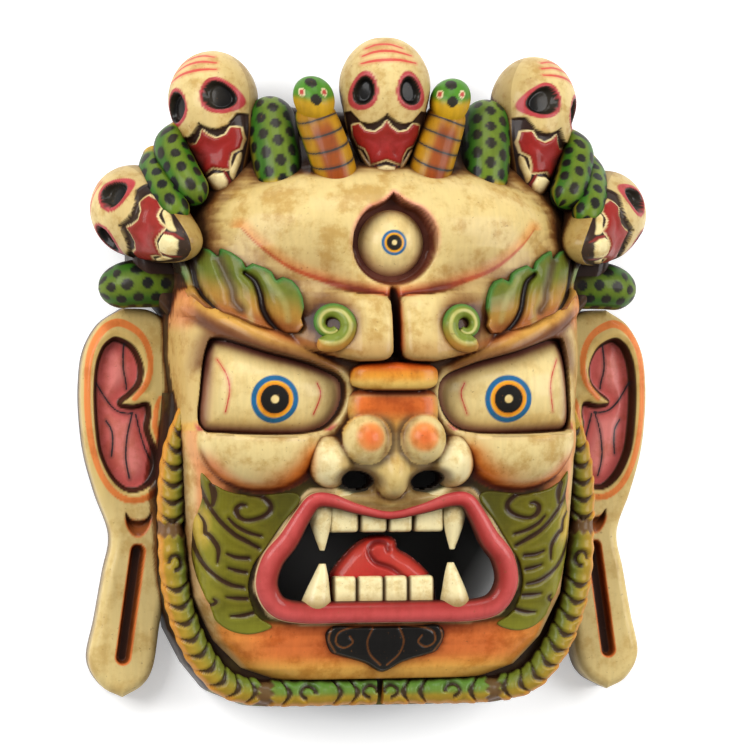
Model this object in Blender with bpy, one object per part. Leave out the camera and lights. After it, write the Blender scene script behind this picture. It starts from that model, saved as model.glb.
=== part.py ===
"""A carved wooden bhairava mask, hollow behind, lying on its back with the face up.

X runs to the viewer's right, Y to the crown and Z out of the face. The back rim lies on Z = 0.
The carving is drawn in carver's units, 402 of them to the mask's height, about one to a millimetre.
"""

import math

import bmesh
import bpy
import numpy as np
from mathutils import Matrix, Vector

MASK_HEIGHT = 0.402
CARVER_UNITS = 402
UNIT = MASK_HEIGHT / CARVER_UNITS

# Thickness of the shell's side walls and of its front, measured square to the back.
SIDE_WALL = 0.015
FRONT_WALL = 0.017
# Thickness of the flat ear boards, and how deep their red hollow is cut.
EAR_THICKNESS = 0.025
EAR_HOLLOW_DEPTH = 0.009
LOBE_SLOT_DEPTH = 0.008
# How far the teeth and the tongue reach from front to back.
TOOTH_DEPTH = 0.014
TONGUE_THICKNESS = 0.009

# Points nearer than this after the joins are one point.
WELD_DISTANCE = 0.00001

CHIN_Y = -201
BELOW_BACK = 8
PAINTED_CREAM = (0.78, 0.66, 0.40, 1.0)

# Head and jaw plate, from chin to crown: y, half width, crest height above the back, and the
# power of the section, from 2 for an ellipse to 6 for a nearly square one.
HEAD_ROWS = (
    (-184, 70, 62, 6),
    (-177, 88, 67, 6),
    (-160, 103, 74, 6),
    (-134, 115, 80, 6),
    (-100, 119, 86, 6),
    (-60, 121, 93, 6),
    (-20, 123, 99, 5),
    (10, 127, 102, 4),
    (45, 128, 104, 3.2),
    (75, 127, 101, 3),
    (100, 122, 90, 3),
    (122, 108, 76, 3),
    (140, 84, 58, 3),
    (150, 62, 40, 3),
)
# Beard band round the jaw, behind the plate, in the same terms.
BAND_ROWS = (
    (CHIN_Y, 82, 50, 6),
    (-193, 101, 54, 6),
    (-177, 114, 55, 6),
    (-156, 125, 55, 6),
    (-125, 131, 55, 6),
    (-60, 132, 55, 6),
    (-12, 128, 54, 6),
)
SECTION_STEPS = 16

# The eyes: centre, its height, half sizes, how far they turn outwards and the depth of the socket.
EYE = (71, -12)
EYE_Z = 62
EYE_RADII = (47, 27, 37)
EYE_TURN = 8
SOCKET_DEPTH = 11
LIP_LINE = (
    (0, -84.5, 2.6),
    (20, -80.5, 3.4),
    (36, -75.5, 4.4),
    (46, -76, 4.8),
    (53, -85, 5.2),
    (61, -99, 6.4),
    (70, -111, 6.9),
    (73, -126, 6.9),
    (66, -138.5, 6.7),
    (50, -142.5, 6.6),
    (25, -142.5, 6.6),
    (0, -142.5, 6.6),
)
BEARD_LINE = (
    (118, -22),
    (124.5, -50),
    (126, -90),
    (124, -125),
    (117, -152),
    (106, -173),
    (92, -187),
    (70, -192),
    (35, -192.4),
    (3, -192.4),
)
BEARD_HEIGHT = 55
BEARD_LUMPS = 15
# Half thickness of the wall that the beard strip is carved on.
BEARD_WALL = 5.5

EAR_OUTLINE = (
    (116, 26),
    (127.5, 34),
    (137, 38.5),
    (151, 39.3),
    (165, 29.5),
    (174, 13),
    (176.9, -8),
    (176, -30),
    (173, -51),
    (166.5, -74),
    (158, -99),
    (162, -122),
    (167, -150),
    (171.5, -174),
    (164, -189.5),
    (151.5, -196.5),
    (139, -189),
    (132.5, -177),
    (128.5, -151),
    (124, -128),
    (116, -110),
)
EAR_HOLLOW = (
    (157, 20.2),
    (145, 14),
    (139.4, 2),
    (141, -9),
    (151.5, -17.5),
    (142, -19),
    (135, -15.5),
    (133.8, -22),
    (136, -32),
    (134.5, -41),
    (133, -55),
    (136.5, -65.6),
    (147.5, -71.2),
    (159.5, -61),
    (166, -41),
    (168.5, -17),
    (166, 5),
)
LOBE_CRESCENT = (
    (134, -85),
    (137.5, -89),
    (142, -90.5),
    (146.5, -89),
    (150, -84),
    (149, -92),
    (145, -97.5),
    (140, -97.5),
    (136, -93),
)
LOBE_SLOT = ((142.5, -108), (151.5, -172))
LOBE_SLOT_RADIUS = 4.2

LEAF = (
    (52, 27),
    (62, 24),
    (80, 28),
    (98, 37),
    (113, 52),
    (126, 74),
    (127, 88),
    (119, 80),
    (113, 84),
    (106, 73),
    (98, 76),
    (88, 66),
    (80, 67),
    (70, 56),
    (61, 57),
    (53, 47),
)
LEAF_RISE = 6
LEAF_GROOVES = (
    ((60, 30), (66, 42), (64, 56)),
    ((76, 32), (86, 46), (88, 62)),
    ((92, 38), (104, 54), (106, 70)),
)
CHIN_TUFT = (
    (0, -179),
    (-16, -171),
    (-29, -166),
    (-35, -158),
    (-32, -150),
    (-18, -148),
    (18, -148),
    (32, -150),
    (35, -158),
    (29, -166),
    (16, -171),
)
TONGUE = (
    (-33, -124),
    (-24, -110),
    (-14, -101),
    (-3, -97.5),
    (6, -100),
    (8.5, -106),
    (18, -112),
    (29, -124),
    (27, -141),
    (-31, -141),
)
THIRD_EYE_Y = 77
THIRD_EYE_RADIUS = 25
THIRD_EYE_CUSP = 106

# Skulls of the crown: centre, direction of the crown of the head, facing direction, length of jaw.
SKULLS = {
    "middle": ((0, 170, 74), (0, 1, 0), (0, 0, 1), 58),
    "shoulder": ((99, 164, 43), (0.08, 0.99, 0), (0.60, 0, 0.80), 58),
    "temple": ((143.5, 94, 36), (0.85, 0.30, -0.42), (0.50, -0.2, 0.84), 42),
}
CRANIUM = (27, 31, 26)
SKULL_SOCKET = (14, 1)

# Serpents of the crown: (x, y, z, radius) from root to end.
SERPENTS = {
    "head": ((26, 108, 80, 13), (31, 130, 80, 13), (37, 152, 76, 12.5), (41, 166, 73, 12), (43.5, 174, 71, 8)),
    "coil": ((60, 110, 56, 13), (62, 130, 54, 13.5), (64, 148, 51, 13.5), (65, 158, 49, 12), (65, 163, 47, 8)),
    "upper": ((118, 144, 34, 9), (124, 136, 40, 10.5), (122, 125, 45, 11), (117, 113, 50, 11), (109, 101, 53, 9.5)),
    "lower": ((130, 128, 28, 9), (134, 120, 33, 10), (132, 109, 38, 10.5), (127, 97, 43, 10.5), (119, 85, 45, 8)),
    "side": ((124, 52, 34, 13), (142, 53, 33, 13.8), (156, 52, 31, 12.8), (163, 51, 30, 8)),
}
CROWN_BACK = (
    (0, 158),
    (40, 160),
    (75, 163),
    (104, 154),
    (124, 134),
    (140, 119),
    (146, 92),
    (146, 60),
    (126, 34),
)
CROWN_BACK_HEIGHT = 48


def head_z(x, y):
    """Height of the plain head above the back at (x, y): a superellipse across each row."""
    rows = np.array(HEAD_ROWS)
    width, crest, power = (float(np.interp(y, rows[:, 0], rows[:, i])) for i in (1, 2, 3))
    share = min(abs(x) / width, 0.93)
    return crest * (1 - share**power) ** (1 / power)


def smooth_path(points, steps, closed=False):
    """A Catmull-Rom curve through points, with that many steps to a span."""
    points = [Vector(point) for point in points]
    count = len(points)
    spans = count if closed else count - 1
    path = []
    for i in range(spans):
        near = [points[(i + k) % count] if closed else points[min(max(i + k, 0), count - 1)] for k in (-1, 0, 1, 2)]
        for step in range(steps):
            t = step / steps
            path.append(
                0.5
                * (
                    2 * near[1]
                    + (near[2] - near[0]) * t
                    + (2 * near[0] - 5 * near[1] + 4 * near[2] - near[3]) * t**2
                    + (3 * near[1] - near[0] - 3 * near[2] + near[3]) * t**3
                )
            )
    if not closed:
        path.append(points[-1])
    return path


def collection_named(name):
    """A new collection linked to the scene."""
    made = bpy.data.collections.new(name)
    bpy.context.scene.collection.children.link(made)
    return made


def guide(name, mesh, collection):
    """An object that only shapes another: drawn as wire and never rendered."""
    made = bpy.data.objects.new(name, mesh)
    made.hide_render = True
    made.display_type = "WIRE"
    collection.objects.link(made)
    return made


def mesh_from(bm, name):
    """A mesh from a bmesh, with its faces pointing out."""
    bmesh.ops.recalc_face_normals(bm, faces=bm.faces)
    mesh = bpy.data.meshes.new(name)
    bm.to_mesh(mesh)
    bm.free()
    return mesh


def solid_from_curve(name, curve, collection):
    """A curve's shape as a closed mesh guide, with its caps welded on."""
    holder = bpy.data.objects.new(name + "_line", curve)
    collection.objects.link(holder)
    graph = bpy.context.evaluated_depsgraph_get()
    shape = bpy.data.meshes.new_from_object(holder.evaluated_get(graph))
    bm = bmesh.new()
    bm.from_mesh(shape)
    bmesh.ops.remove_doubles(bm, verts=bm.verts, dist=1e-6)
    bpy.data.objects.remove(holder)
    return guide(name, mesh_from(bm, name), collection)


class Carver:
    """Collects the solids that are joined to the mask and the cutters taken from it."""

    def __init__(self):
        self.carving = collection_named("carving")
        self.steps = []

    def step(self, solid, operation):
        """Books one joint or cut, in order."""
        self.steps.append((solid, operation))
        return solid

    def ellipsoid(self, name, centre, radii, turn=None, segments=12, rings=8):
        """A turned ellipsoid."""
        bm = bmesh.new()
        bmesh.ops.create_uvsphere(bm, u_segments=segments, v_segments=rings, radius=1)
        place = Matrix.Translation(Vector(centre) * UNIT) @ (turn or Matrix.Identity(4))
        bmesh.ops.transform(bm, matrix=place @ Matrix.Diagonal((*[r * UNIT for r in radii], 1)), verts=bm.verts)
        return guide(name, mesh_from(bm, name), self.carving)

    def block(self, name, centre, size, turn=None, bevel=3.0):
        """A box with one flat chamfer along its edges."""
        bm = bmesh.new()
        bmesh.ops.create_cube(bm, size=1)
        place = Matrix.Translation(Vector(centre) * UNIT) @ (turn or Matrix.Identity(4))
        bmesh.ops.transform(bm, matrix=Matrix.Diagonal((*[s * UNIT for s in size], 1)), verts=bm.verts)
        bmesh.ops.bevel(bm, geom=bm.edges[:], offset=bevel * UNIT, segments=1, affect="EDGES")
        bmesh.ops.transform(bm, matrix=place, verts=bm.verts)
        return guide(name, mesh_from(bm, name), self.carving)

    def spike(self, name, root, tip, root_radius, tip_radius=0.8, sides=8, squash=1.0, facing=(0, 0, 1)):
        """A cone from root to tip, flattened along facing by squash."""
        root, tip = Vector(root) * UNIT, Vector(tip) * UNIT
        axis = tip - root
        bm = bmesh.new()
        bmesh.ops.create_cone(
            bm,
            cap_ends=True,
            segments=sides,
            radius1=root_radius * UNIT,
            radius2=tip_radius * UNIT,
            depth=axis.length,
        )
        across = Vector(facing).cross(axis).normalized()
        turn = Matrix((across, axis.cross(across).normalized(), axis.normalized())).transposed().to_4x4()
        place = Matrix.Translation((root + tip) / 2) @ turn
        bmesh.ops.transform(bm, matrix=place @ Matrix.Diagonal((1, squash, 1, 1)), verts=bm.verts)
        return guide(name, mesh_from(bm, name), self.carving)

    def tube(self, name, points, radii, resolution=2, closed=False):
        """A round bar along points, as thick at each as radii says."""
        curve = bpy.data.curves.new(name, "CURVE")
        curve.dimensions = "3D"
        curve.bevel_depth = UNIT
        curve.bevel_resolution = resolution
        curve.use_fill_caps = True
        line = curve.splines.new("POLY")
        line.points.add(len(points) - 1)
        line.use_cyclic_u = closed
        for spot, point, radius in zip(line.points, points, radii):
            spot.co = (*(Vector(point) * UNIT), 1)
            spot.radius = radius
        return solid_from_curve(name, curve, self.carving)

    def slab(self, name, outline, bottom, top, lean=None):
        """A flat outline made solid from bottom to top, its faces then raised by lean(x, y)."""
        curve = bpy.data.curves.new(name, "CURVE")
        curve.dimensions = "2D"
        curve.fill_mode = "BOTH"
        curve.extrude = (top - bottom) / 2 * UNIT
        line = curve.splines.new("POLY")
        line.points.add(len(outline) - 1)
        line.use_cyclic_u = True
        for spot, point in zip(line.points, outline):
            spot.co = (point[0] * UNIT, point[1] * UNIT, 0, 1)
        made = solid_from_curve(name, curve, self.carving)
        for vertex in made.data.vertices:
            vertex.co.z += (top + bottom) / 2 * UNIT
            if lean:
                vertex.co.z += lean(vertex.co.x / UNIT, vertex.co.y / UNIT) * UNIT
        return made

    def loft(self, name, rows, bottom, inset=0.0, drop=0.0):
        """Superelliptic sections across each row, skinned in turn and closed at both ends and below."""
        bm = bmesh.new()
        rings = []
        for y, width, crest, power in rows:
            width = (width - inset) * UNIT
            crest = (crest - drop) * UNIT
            ring = [bm.verts.new((width, y * UNIT, bottom * UNIT))]
            for step in range(SECTION_STEPS + 1):
                angle = math.pi * step / SECTION_STEPS
                across = math.copysign(abs(math.cos(angle)) ** (2 / power), math.cos(angle))
                ring.append(bm.verts.new((width * across, y * UNIT, crest * math.sin(angle) ** (2 / power))))
            ring.append(bm.verts.new((-width, y * UNIT, bottom * UNIT)))
            rings.append(ring)
        count = len(rings[0])
        for low, high in zip(rings, rings[1:]):
            for i in range(count):
                j = (i + 1) % count
                bm.faces.new((low[i], low[j], high[j], high[i]))
        bm.faces.new(rings[0])
        bm.faces.new(rings[-1])
        bmesh.ops.remove_doubles(bm, verts=bm.verts, dist=1e-5)
        return guide(name, mesh_from(bm, name), self.carving)


def mirrored(points, side):
    """The points with x turned to one side of the face, +1 or -1."""
    return [(point[0] * side, *point[1:]) for point in points]


def turned(up, facing, side):
    """The turn that points Y up and Z along facing, on one side of the face."""
    up = Vector((up[0] * side, up[1], up[2]))
    facing = Vector((facing[0] * side, facing[1], facing[2])).normalized()
    across = up.cross(facing).normalized()
    up = facing.cross(across)
    return Matrix((across, up, facing)).transposed().to_4x4()


def carve_head(carver):
    """The mask's stock: head, beard band and the band behind the crown."""
    head = carver.loft("head", HEAD_ROWS, -BELOW_BACK)
    band = carver.loft("beard_band", BAND_ROWS, -BELOW_BACK)
    carver.step(band, "UNION")
    back = mirrored(CROWN_BACK, 1)
    back += mirrored(CROWN_BACK[:0:-1], -1)
    carver.step(carver.slab("crown_back", back, -BELOW_BACK, CROWN_BACK_HEIGHT), "UNION")
    return head


def carve_beard(carver, side):
    """The segmented beard strip, a bar that swells and narrows along the jaw."""
    steps = 2 * BEARD_LUMPS
    path = smooth_path(mirrored(BEARD_LINE, side), 12)
    picked = [path[round(i * (len(path) - 1) / steps)] for i in range(steps + 1)]
    points = [(point[0], point[1], BEARD_HEIGHT) for point in picked]
    radii = [(8.6 if i % 2 else 7.0) * min(1, 0.45 + i / 8) for i in range(steps + 1)]
    outer, inner = [], []
    for before, here, after in zip(path, path[2:], path[4:]):
        along = Vector((after[0] - before[0], after[1] - before[1], 0)).normalized() * BEARD_WALL
        outer.append((here[0] + along.y, here[1] - along.x))
        inner.append((here[0] - along.y, here[1] + along.x))
    wall = outer[::6] + outer[-1:] + inner[-1:] + inner[::-6]
    carver.step(carver.slab(f"beard_wall_{side}", wall, -BELOW_BACK, BEARD_HEIGHT), "UNION")
    carver.step(carver.tube(f"beard_{side}", points, radii, 1), "UNION")


def carve_brow(carver, side):
    """The swollen brow, the leaf that grows over it, its curl and the block beside the slit."""
    brow = [(16, 30, 92), (40, 36, 89), (70, 44, 80), (96, 56, 66), (115, 72, 52)]
    carver.step(carver.tube(f"brow_{side}", mirrored(brow, side), (20, 20, 20, 18, 14), 3), "UNION")
    tilt = Matrix.Rotation(math.radians(-14), 4, "X")
    block = carver.block(f"brow_block_{side}", (20.2 * side, 27, 96), (35, 40, 50), tilt, bevel=6)
    carver.step(block, "UNION")
    leaf = carver.slab(f"leaf_{side}", mirrored(LEAF, side), -14, LEAF_RISE, lean=head_z)
    carver.step(leaf, "UNION")
    for points in LEAF_GROOVES:
        groove = [(x * side, y, head_z(x, y) + LEAF_RISE + 1) for x, y in points]
        carver.step(carver.tube(f"leaf_groove_{side}_{points[0][0]}", groove, (1.6, 2.2, 2.6), 1), "DIFFERENCE")
    curl = []
    for step in range(13):
        angle = math.radians(200 - 40 * step)
        reach = 11 - 0.66 * step
        curl.append(((40 + reach * math.cos(angle)) * side, 28 + reach * math.sin(angle), 114 + 0.4 * step))
    carver.step(carver.tube(f"curl_{side}", curl, [4.6 - 0.16 * i for i in range(13)], 1), "UNION")
    lid = smooth_path([(115, 42, 70), (97, 30, 86), (74, 17, 95), (50, 8, 97), (29, -3, 95)], 2)
    radii = (8.5, 9.4, 9.6, 9.6, 9.3, 9, 8.7, 8.2, 7.5)
    carver.step(carver.tube(f"upper_lid_{side}", mirrored(lid, side), radii, 3), "UNION")


def carve_eye(carver, side):
    """The deep socket, the ball standing in it and the pouch below, flat along its top."""
    socket = smooth_path(
        [(29, -5), (46, 5), (75, 13), (102, 21), (109, 14), (112, -10), (112, -32), (98, -36), (50, -36), (32, -25)],
        2,
        closed=True,
    )
    cutter = carver.slab(f"socket_{side}", mirrored(socket, side), -SOCKET_DEPTH, 60, lean=head_z)
    carver.step(cutter, "DIFFERENCE")
    turn = Matrix.Rotation(math.radians(EYE_TURN * side), 4, "Y")
    ball = carver.ellipsoid(f"eyeball_{side}", (EYE[0] * side, EYE[1], EYE_Z), EYE_RADII, turn, 16, 12)
    carver.step(ball, "UNION")


def carve_pouch(carver, side):
    """The bag under the eye; the socket cuts its top flat."""
    pouch = carver.ellipsoid(f"pouch_{side}", (76 * side, -39, 82), (38, 32, 29), segments=14, rings=10)
    carver.step(pouch, "UNION")


def carve_nose(carver):
    """The bar across the bridge, the body, two balls, two wings, the tip and the pierced nostrils."""
    carver.step(carver.block("bridge_bar", (0, -2, 94), (54, 16.5, 40), bevel=5), "UNION")
    carver.step(carver.ellipsoid("nose_body", (0, -42, 80), (38, 32, 29), segments=14, rings=10), "UNION")
    carver.step(carver.block("nose_root", (0, -22, 90), (54, 24, 40), bevel=7), "UNION")
    for side in (-1, 1):
        carver.step(carver.ellipsoid(f"nose_ball_{side}", (17 * side, -39, 100), (14.8, 15.5, 17)), "UNION")
        carver.step(carver.ellipsoid(f"nose_wing_{side}", (38 * side, -52, 92), (12.5, 17, 17)), "UNION")
    carver.step(carver.ellipsoid("nose_tip", (0, -60, 97), (10, 14.5, 16), segments=10), "UNION")
    carver.step(carver.ellipsoid("upper_lip_skin", (0, -78, 80), (46, 15, 16), segments=14, rings=8), "UNION")
    for side in (-1, 1):
        nostril = carver.ellipsoid(f"nostril_{side}", (21 * side, -63.5, 85), (9.5, 5.6, 60), rings=6)
        carver.step(nostril, "DIFFERENCE")


def carve_forehead(carver):
    """The swollen forehead with the third eye sunk in it."""
    carver.step(carver.ellipsoid("forehead", (0, 86, 60), (104, 42, 50), segments=18, rings=10), "UNION")
    ring = []
    for step in range(21):
        angle = math.radians(-240 + 300 * step / 20)
        ring.append((THIRD_EYE_RADIUS * math.cos(angle), THIRD_EYE_Y + THIRD_EYE_RADIUS * math.sin(angle)))
    ring.append((0, THIRD_EYE_CUSP))
    carver.step(carver.slab("third_socket", ring, 92, 140), "DIFFERENCE")
    ball = carver.ellipsoid("third_eyeball", (0, THIRD_EYE_Y, 84), (21.5, 21.5, 20), segments=14, rings=10)
    carver.step(ball, "UNION")


def carve_skull(carver, kind, side):
    """One skull of the crown: cranium, tapered jaw, sockets and the gap of its mouth."""
    centre, up, facing, length = SKULLS[kind]
    turn = turned(up, facing, side)
    centre = Vector((centre[0] * side, centre[1], centre[2]))
    name = f"{kind}_skull_{side}"

    def at(across, rise, out):
        return centre + turn.to_3x3() @ Vector((across, rise, out))

    skull = carver.ellipsoid(f"{name}_cranium", centre, CRANIUM, turn, 12, 10)
    facing = turn.to_3x3().col[2]
    root, tip = at(0, -8, 0), at(0, -length, 6)
    jaw = carver.spike(f"{name}_jaw", root, tip, 26, 10.5, sides=12, squash=0.86, facing=facing)
    # The exact solver leaves open edges on some of these turned skulls.
    boolean(skull, jaw, "UNION", "MANIFOLD")
    for eye in (-1, 1):
        middle = at(SKULL_SOCKET[0] * eye, SKULL_SOCKET[1], 25)
        socket = carver.ellipsoid(f"{name}_socket_{eye}", middle, (7.5, 10, 9), turn, 8, 6)
        boolean(skull, socket, "DIFFERENCE", "MANIFOLD")
        points = [at(25 * eye, -17, 14), at(12 * eye, -23, 22.5), at(1 * eye, -16, 25.5)]
        groove = carver.tube(f"{name}_groove_{eye}", points, (1.6, 2.2, 1.2), 1)
        boolean(skull, groove, "DIFFERENCE", "MANIFOLD")
    carver.step(skull, "UNION")


def carve_crown(carver):
    """The five skulls with the serpents woven between them."""
    for kind in SERPENTS:
        for side in (-1, 1):
            points = mirrored([body[:3] for body in SERPENTS[kind]], side)
            radii = [body[3] for body in SERPENTS[kind]]
            carver.step(carver.tube(f"serpent_{kind}_{side}", points, radii), "UNION")
    carve_skull(carver, "middle", 1)
    for kind in ("shoulder", "temple"):
        for side in (-1, 1):
            carve_skull(carver, kind, side)


def carve_ear(carver, side):
    """A long-lobed ear: flat board, sunk red hollow with the curl of its rim, crescent and slot."""
    thickness = EAR_THICKNESS / UNIT
    ear = carver.slab(f"ear_{side}", mirrored(EAR_OUTLINE, side), -BELOW_BACK, thickness)
    hollow_floor = (EAR_THICKNESS - EAR_HOLLOW_DEPTH) / UNIT
    slot_floor = (EAR_THICKNESS - LOBE_SLOT_DEPTH) / UNIT
    above = thickness + BELOW_BACK
    cutters = [
        carver.slab(f"ear_hollow_{side}", mirrored(EAR_HOLLOW, side), hollow_floor, above),
        carver.slab(f"lobe_crescent_{side}", mirrored(LOBE_CRESCENT, side), slot_floor, above),
        carver.slab(f"lobe_slot_{side}", mirrored(slot_outline(*LOBE_SLOT, LOBE_SLOT_RADIUS), side), slot_floor, above),
    ]
    for cutter in cutters:
        boolean(ear, cutter, "DIFFERENCE")
    carver.step(ear, "UNION")


def slot_outline(start, end, radius):
    """A slot's outline: two straight sides between half-round ends."""
    start, end = Vector(start), Vector(end)
    along = math.atan2(*(end - start).yx)
    outline = []
    for centre, base in ((end, along - math.pi / 2), (start, along + math.pi / 2)):
        for step in range(5):
            angle = base + math.pi * step / 4
            outline.append(centre + radius * Vector((math.cos(angle), math.sin(angle))))
    return outline


def carve_mouth(carver):
    """The lips round the open mouth, with teeth, fangs and the curled tongue."""
    outline = [(x, y) for x, y, _ in LIP_LINE] + [(-x, y) for x, y, _ in LIP_LINE[-2:0:-1]]
    hole = smooth_path(outline, 2, closed=True)
    carver.step(carver.slab("mouth_hole", hole, -2 * BELOW_BACK, 160), "DIFFERENCE")
    line = [(x, y, head_z(x, y) + 1, r) for x, y, r in LIP_LINE]
    line += [(-x, y, z, r) for x, y, z, r in line[-2:0:-1]]
    lips = smooth_path([point[:3] for point in line], 2, closed=True)
    thick = smooth_path([(point[3], 0, 0) for point in line], 2, closed=True)
    carver.step(carver.tube("lips", lips, [radius[0] for radius in thick], 2, closed=True), "UNION")

    depth = TOOTH_DEPTH / UNIT
    for x, width in ((-26.5, 18), (-8.5, 16.4), (7.7, 14.6), (25, 18.4)):
        carver.step(carver.block(f"upper_tooth_{x}", (x, -85, 85 - depth / 2), (width, 19, depth), bevel=1.6), "UNION")
    for x, width in ((-25, 13.6), (-9.5, 15.6), (6, 14.0), (21.5, 15.0)):
        carver.step(carver.block(f"lower_tooth_{x}", (x, -130, 80 - depth / 2), (width, 17, depth), bevel=1.6), "UNION")
    gum = [(-40, -139, 74), (-20, -138, 74), (0, -138, 74), (20, -138, 74), (40, -139, 74)]
    carver.step(carver.tube("lower_gum", gum, (6, 6, 6, 6, 6), 1), "UNION")
    for side in (-1, 1):
        fang = carver.spike(f"upper_fang_{side}", (41 * side, -74, 81), (39.5 * side, -105, 82), 7.4, squash=0.9)
        carver.step(fang, "UNION")
        fang = carver.spike(f"lower_fang_{side}", (42.5 * side, -142, 76), (39 * side, -114, 80), 9, 2.2, squash=0.75)
        carver.step(fang, "UNION")
    tongue_top = 74
    tongue = carver.slab("tongue", smooth_path(TONGUE, 1, closed=True), tongue_top - TONGUE_THICKNESS / UNIT, tongue_top)
    carver.step(tongue, "UNION")


def carve_chin(carver):
    """The dark tuft below the mouth, raised a little from the chin."""
    tuft = carver.slab("chin_tuft", CHIN_TUFT, -14, 3.5, lean=head_z)
    carver.step(tuft, "UNION")


def boolean(target, solid, operation, solver="EXACT"):
    """Joins the solid to the target or cuts it away."""
    made = target.modifiers.new(solid.name, "BOOLEAN")
    made.operation = operation
    made.solver = solver
    made.object = solid


def painted_wood():
    """Wood under ivory paint and a satin varnish."""
    made = bpy.data.materials.new("painted_wood")
    made.use_nodes = True
    shader = made.node_tree.nodes["Principled BSDF"]
    shader.inputs["Base Color"].default_value = PAINTED_CREAM
    shader.inputs["Roughness"].default_value = 0.42
    shader.inputs["Metallic"].default_value = 0.0
    return made


def main():
    """Builds the mask as one solid."""
    for old in list(bpy.data.objects):
        bpy.data.objects.remove(old)
    carver = Carver()
    mask = carve_head(carver)
    carve_forehead(carver)
    for side in (-1, 1):
        carve_brow(carver, side)
        carve_pouch(carver, side)
        carve_eye(carver, side)
        carve_beard(carver, side)
        carve_ear(carver, side)
    carve_chin(carver)
    carve_crown(carver)
    inner = [row for row in HEAD_ROWS if row[0] <= 122]
    hollow = carver.loft("hollow", inner, -2 * BELOW_BACK, SIDE_WALL / UNIT, FRONT_WALL / UNIT)
    carve_nose(carver)
    carver.step(hollow, "DIFFERENCE")
    carve_mouth(carver)
    floor = carver.block("below_back", (0, 0, -BELOW_BACK * 2), (500, 500, BELOW_BACK * 4), bevel=0.5)
    carver.step(floor, "DIFFERENCE")
    # The exact solver loses the body in this long run of overlapping carvings; the manifold one keeps it.
    for solid, operation in carver.steps:
        boolean(mask, solid, operation, "MANIFOLD")
    weld = mask.modifiers.new("weld", "WELD")
    weld.merge_threshold = WELD_DISTANCE
    mask.name = "mask"
    mask.hide_render = False
    mask.display_type = "TEXTURED"
    carver.carving.objects.unlink(mask)
    collection_named("bhairava_mask").objects.link(mask)
    mask.data.materials.append(painted_wood())


main()
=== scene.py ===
"""Painted wooden mask with five skulls and ten serpents over its brow, lying on its flat back on a pale floor.

Every carved piece is a surface worked out on a grid, in the carver's millimetres: X to the right, Y to the crown
and Z out of the face, with the back at Z = 0. The mesh is made in metres. Each point carries the paint laid on it,
the ink of the nearest brushed line, its distance to that line, and how deep it lies below what is round it.
"""
from __future__ import annotations

import logging
import math
from dataclasses import dataclass, field
from enum import Enum

import bpy
import numpy as np
from mathutils import Matrix, Vector


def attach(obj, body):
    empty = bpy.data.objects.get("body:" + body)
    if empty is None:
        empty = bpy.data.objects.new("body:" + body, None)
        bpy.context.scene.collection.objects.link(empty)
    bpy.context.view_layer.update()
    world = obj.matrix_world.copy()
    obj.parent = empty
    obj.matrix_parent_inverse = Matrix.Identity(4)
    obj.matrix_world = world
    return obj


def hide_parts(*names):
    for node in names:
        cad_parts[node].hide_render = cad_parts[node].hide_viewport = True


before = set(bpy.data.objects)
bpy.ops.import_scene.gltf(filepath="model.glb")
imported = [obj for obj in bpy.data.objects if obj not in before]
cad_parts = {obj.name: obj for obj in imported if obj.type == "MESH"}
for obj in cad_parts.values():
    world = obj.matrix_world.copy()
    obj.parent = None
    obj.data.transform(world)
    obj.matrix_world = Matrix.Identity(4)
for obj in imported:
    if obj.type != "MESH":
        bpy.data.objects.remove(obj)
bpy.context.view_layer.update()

log = logging.getLogger("mask")
MILLIMETRE = 0.001
FAR = 99.0
OUTSIDE_DOME = 40
OUTSIDE_BAR = 5
SIDES = (("right", 1), ("left", -1))
BEARD_SIDES = 48
SERPENT_SIDES = 64
EAR_ROWS, EAR_COLUMNS = 384, 92
EAR_ENDS = (-196.5, 39.3)
PATINA_AND_SHADE_BLURS_MM = (2.0, 8.0)
PATINA_AND_SHADE_SHARES = (0.45, 0.55)
BODY = "root"
NODE = "mask"


def linear(code: str) -> np.ndarray:
    """Turns an sRGB hex code into linear light: the low part is a straight line and the rest a power of 2.4.

    Args:
        code: Six hex digits.

    Returns:
        Three linear values.
    """
    part = np.array([int(code[i:i + 2], 16) for i in (0, 2, 4)]) / 255
    return np.where(part <= 0.04045, part / 12.92, ((part + 0.055) / 1.055) ** 2.4)


def ease(low: float, high: float, value: np.ndarray) -> np.ndarray:
    """Rises smoothly from 0 at low to 1 at high, as 3t^2 - 2t^3.

    Args:
        low: Where the rise starts.
        high: Where it ends.
        value: Values to read.

    Returns:
        Weights from 0 to 1.
    """
    t = np.clip((value - low) / (high - low), 0, 1)
    return t * t * (3 - 2 * t)


def swell(a: np.ndarray, b: np.ndarray, fillet: float) -> np.ndarray:
    """The higher of two heights, with a fillet where they meet: a quadratic blend over the fillet's width.

    Args:
        a: First height.
        b: Second height.
        fillet: Width of the blend in mm.

    Returns:
        The joined height.
    """
    share = np.clip(0.5 + 0.5 * (a - b) / fillet, 0, 1)
    return b + (a - b) * share + fillet * share * (1 - share)


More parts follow.
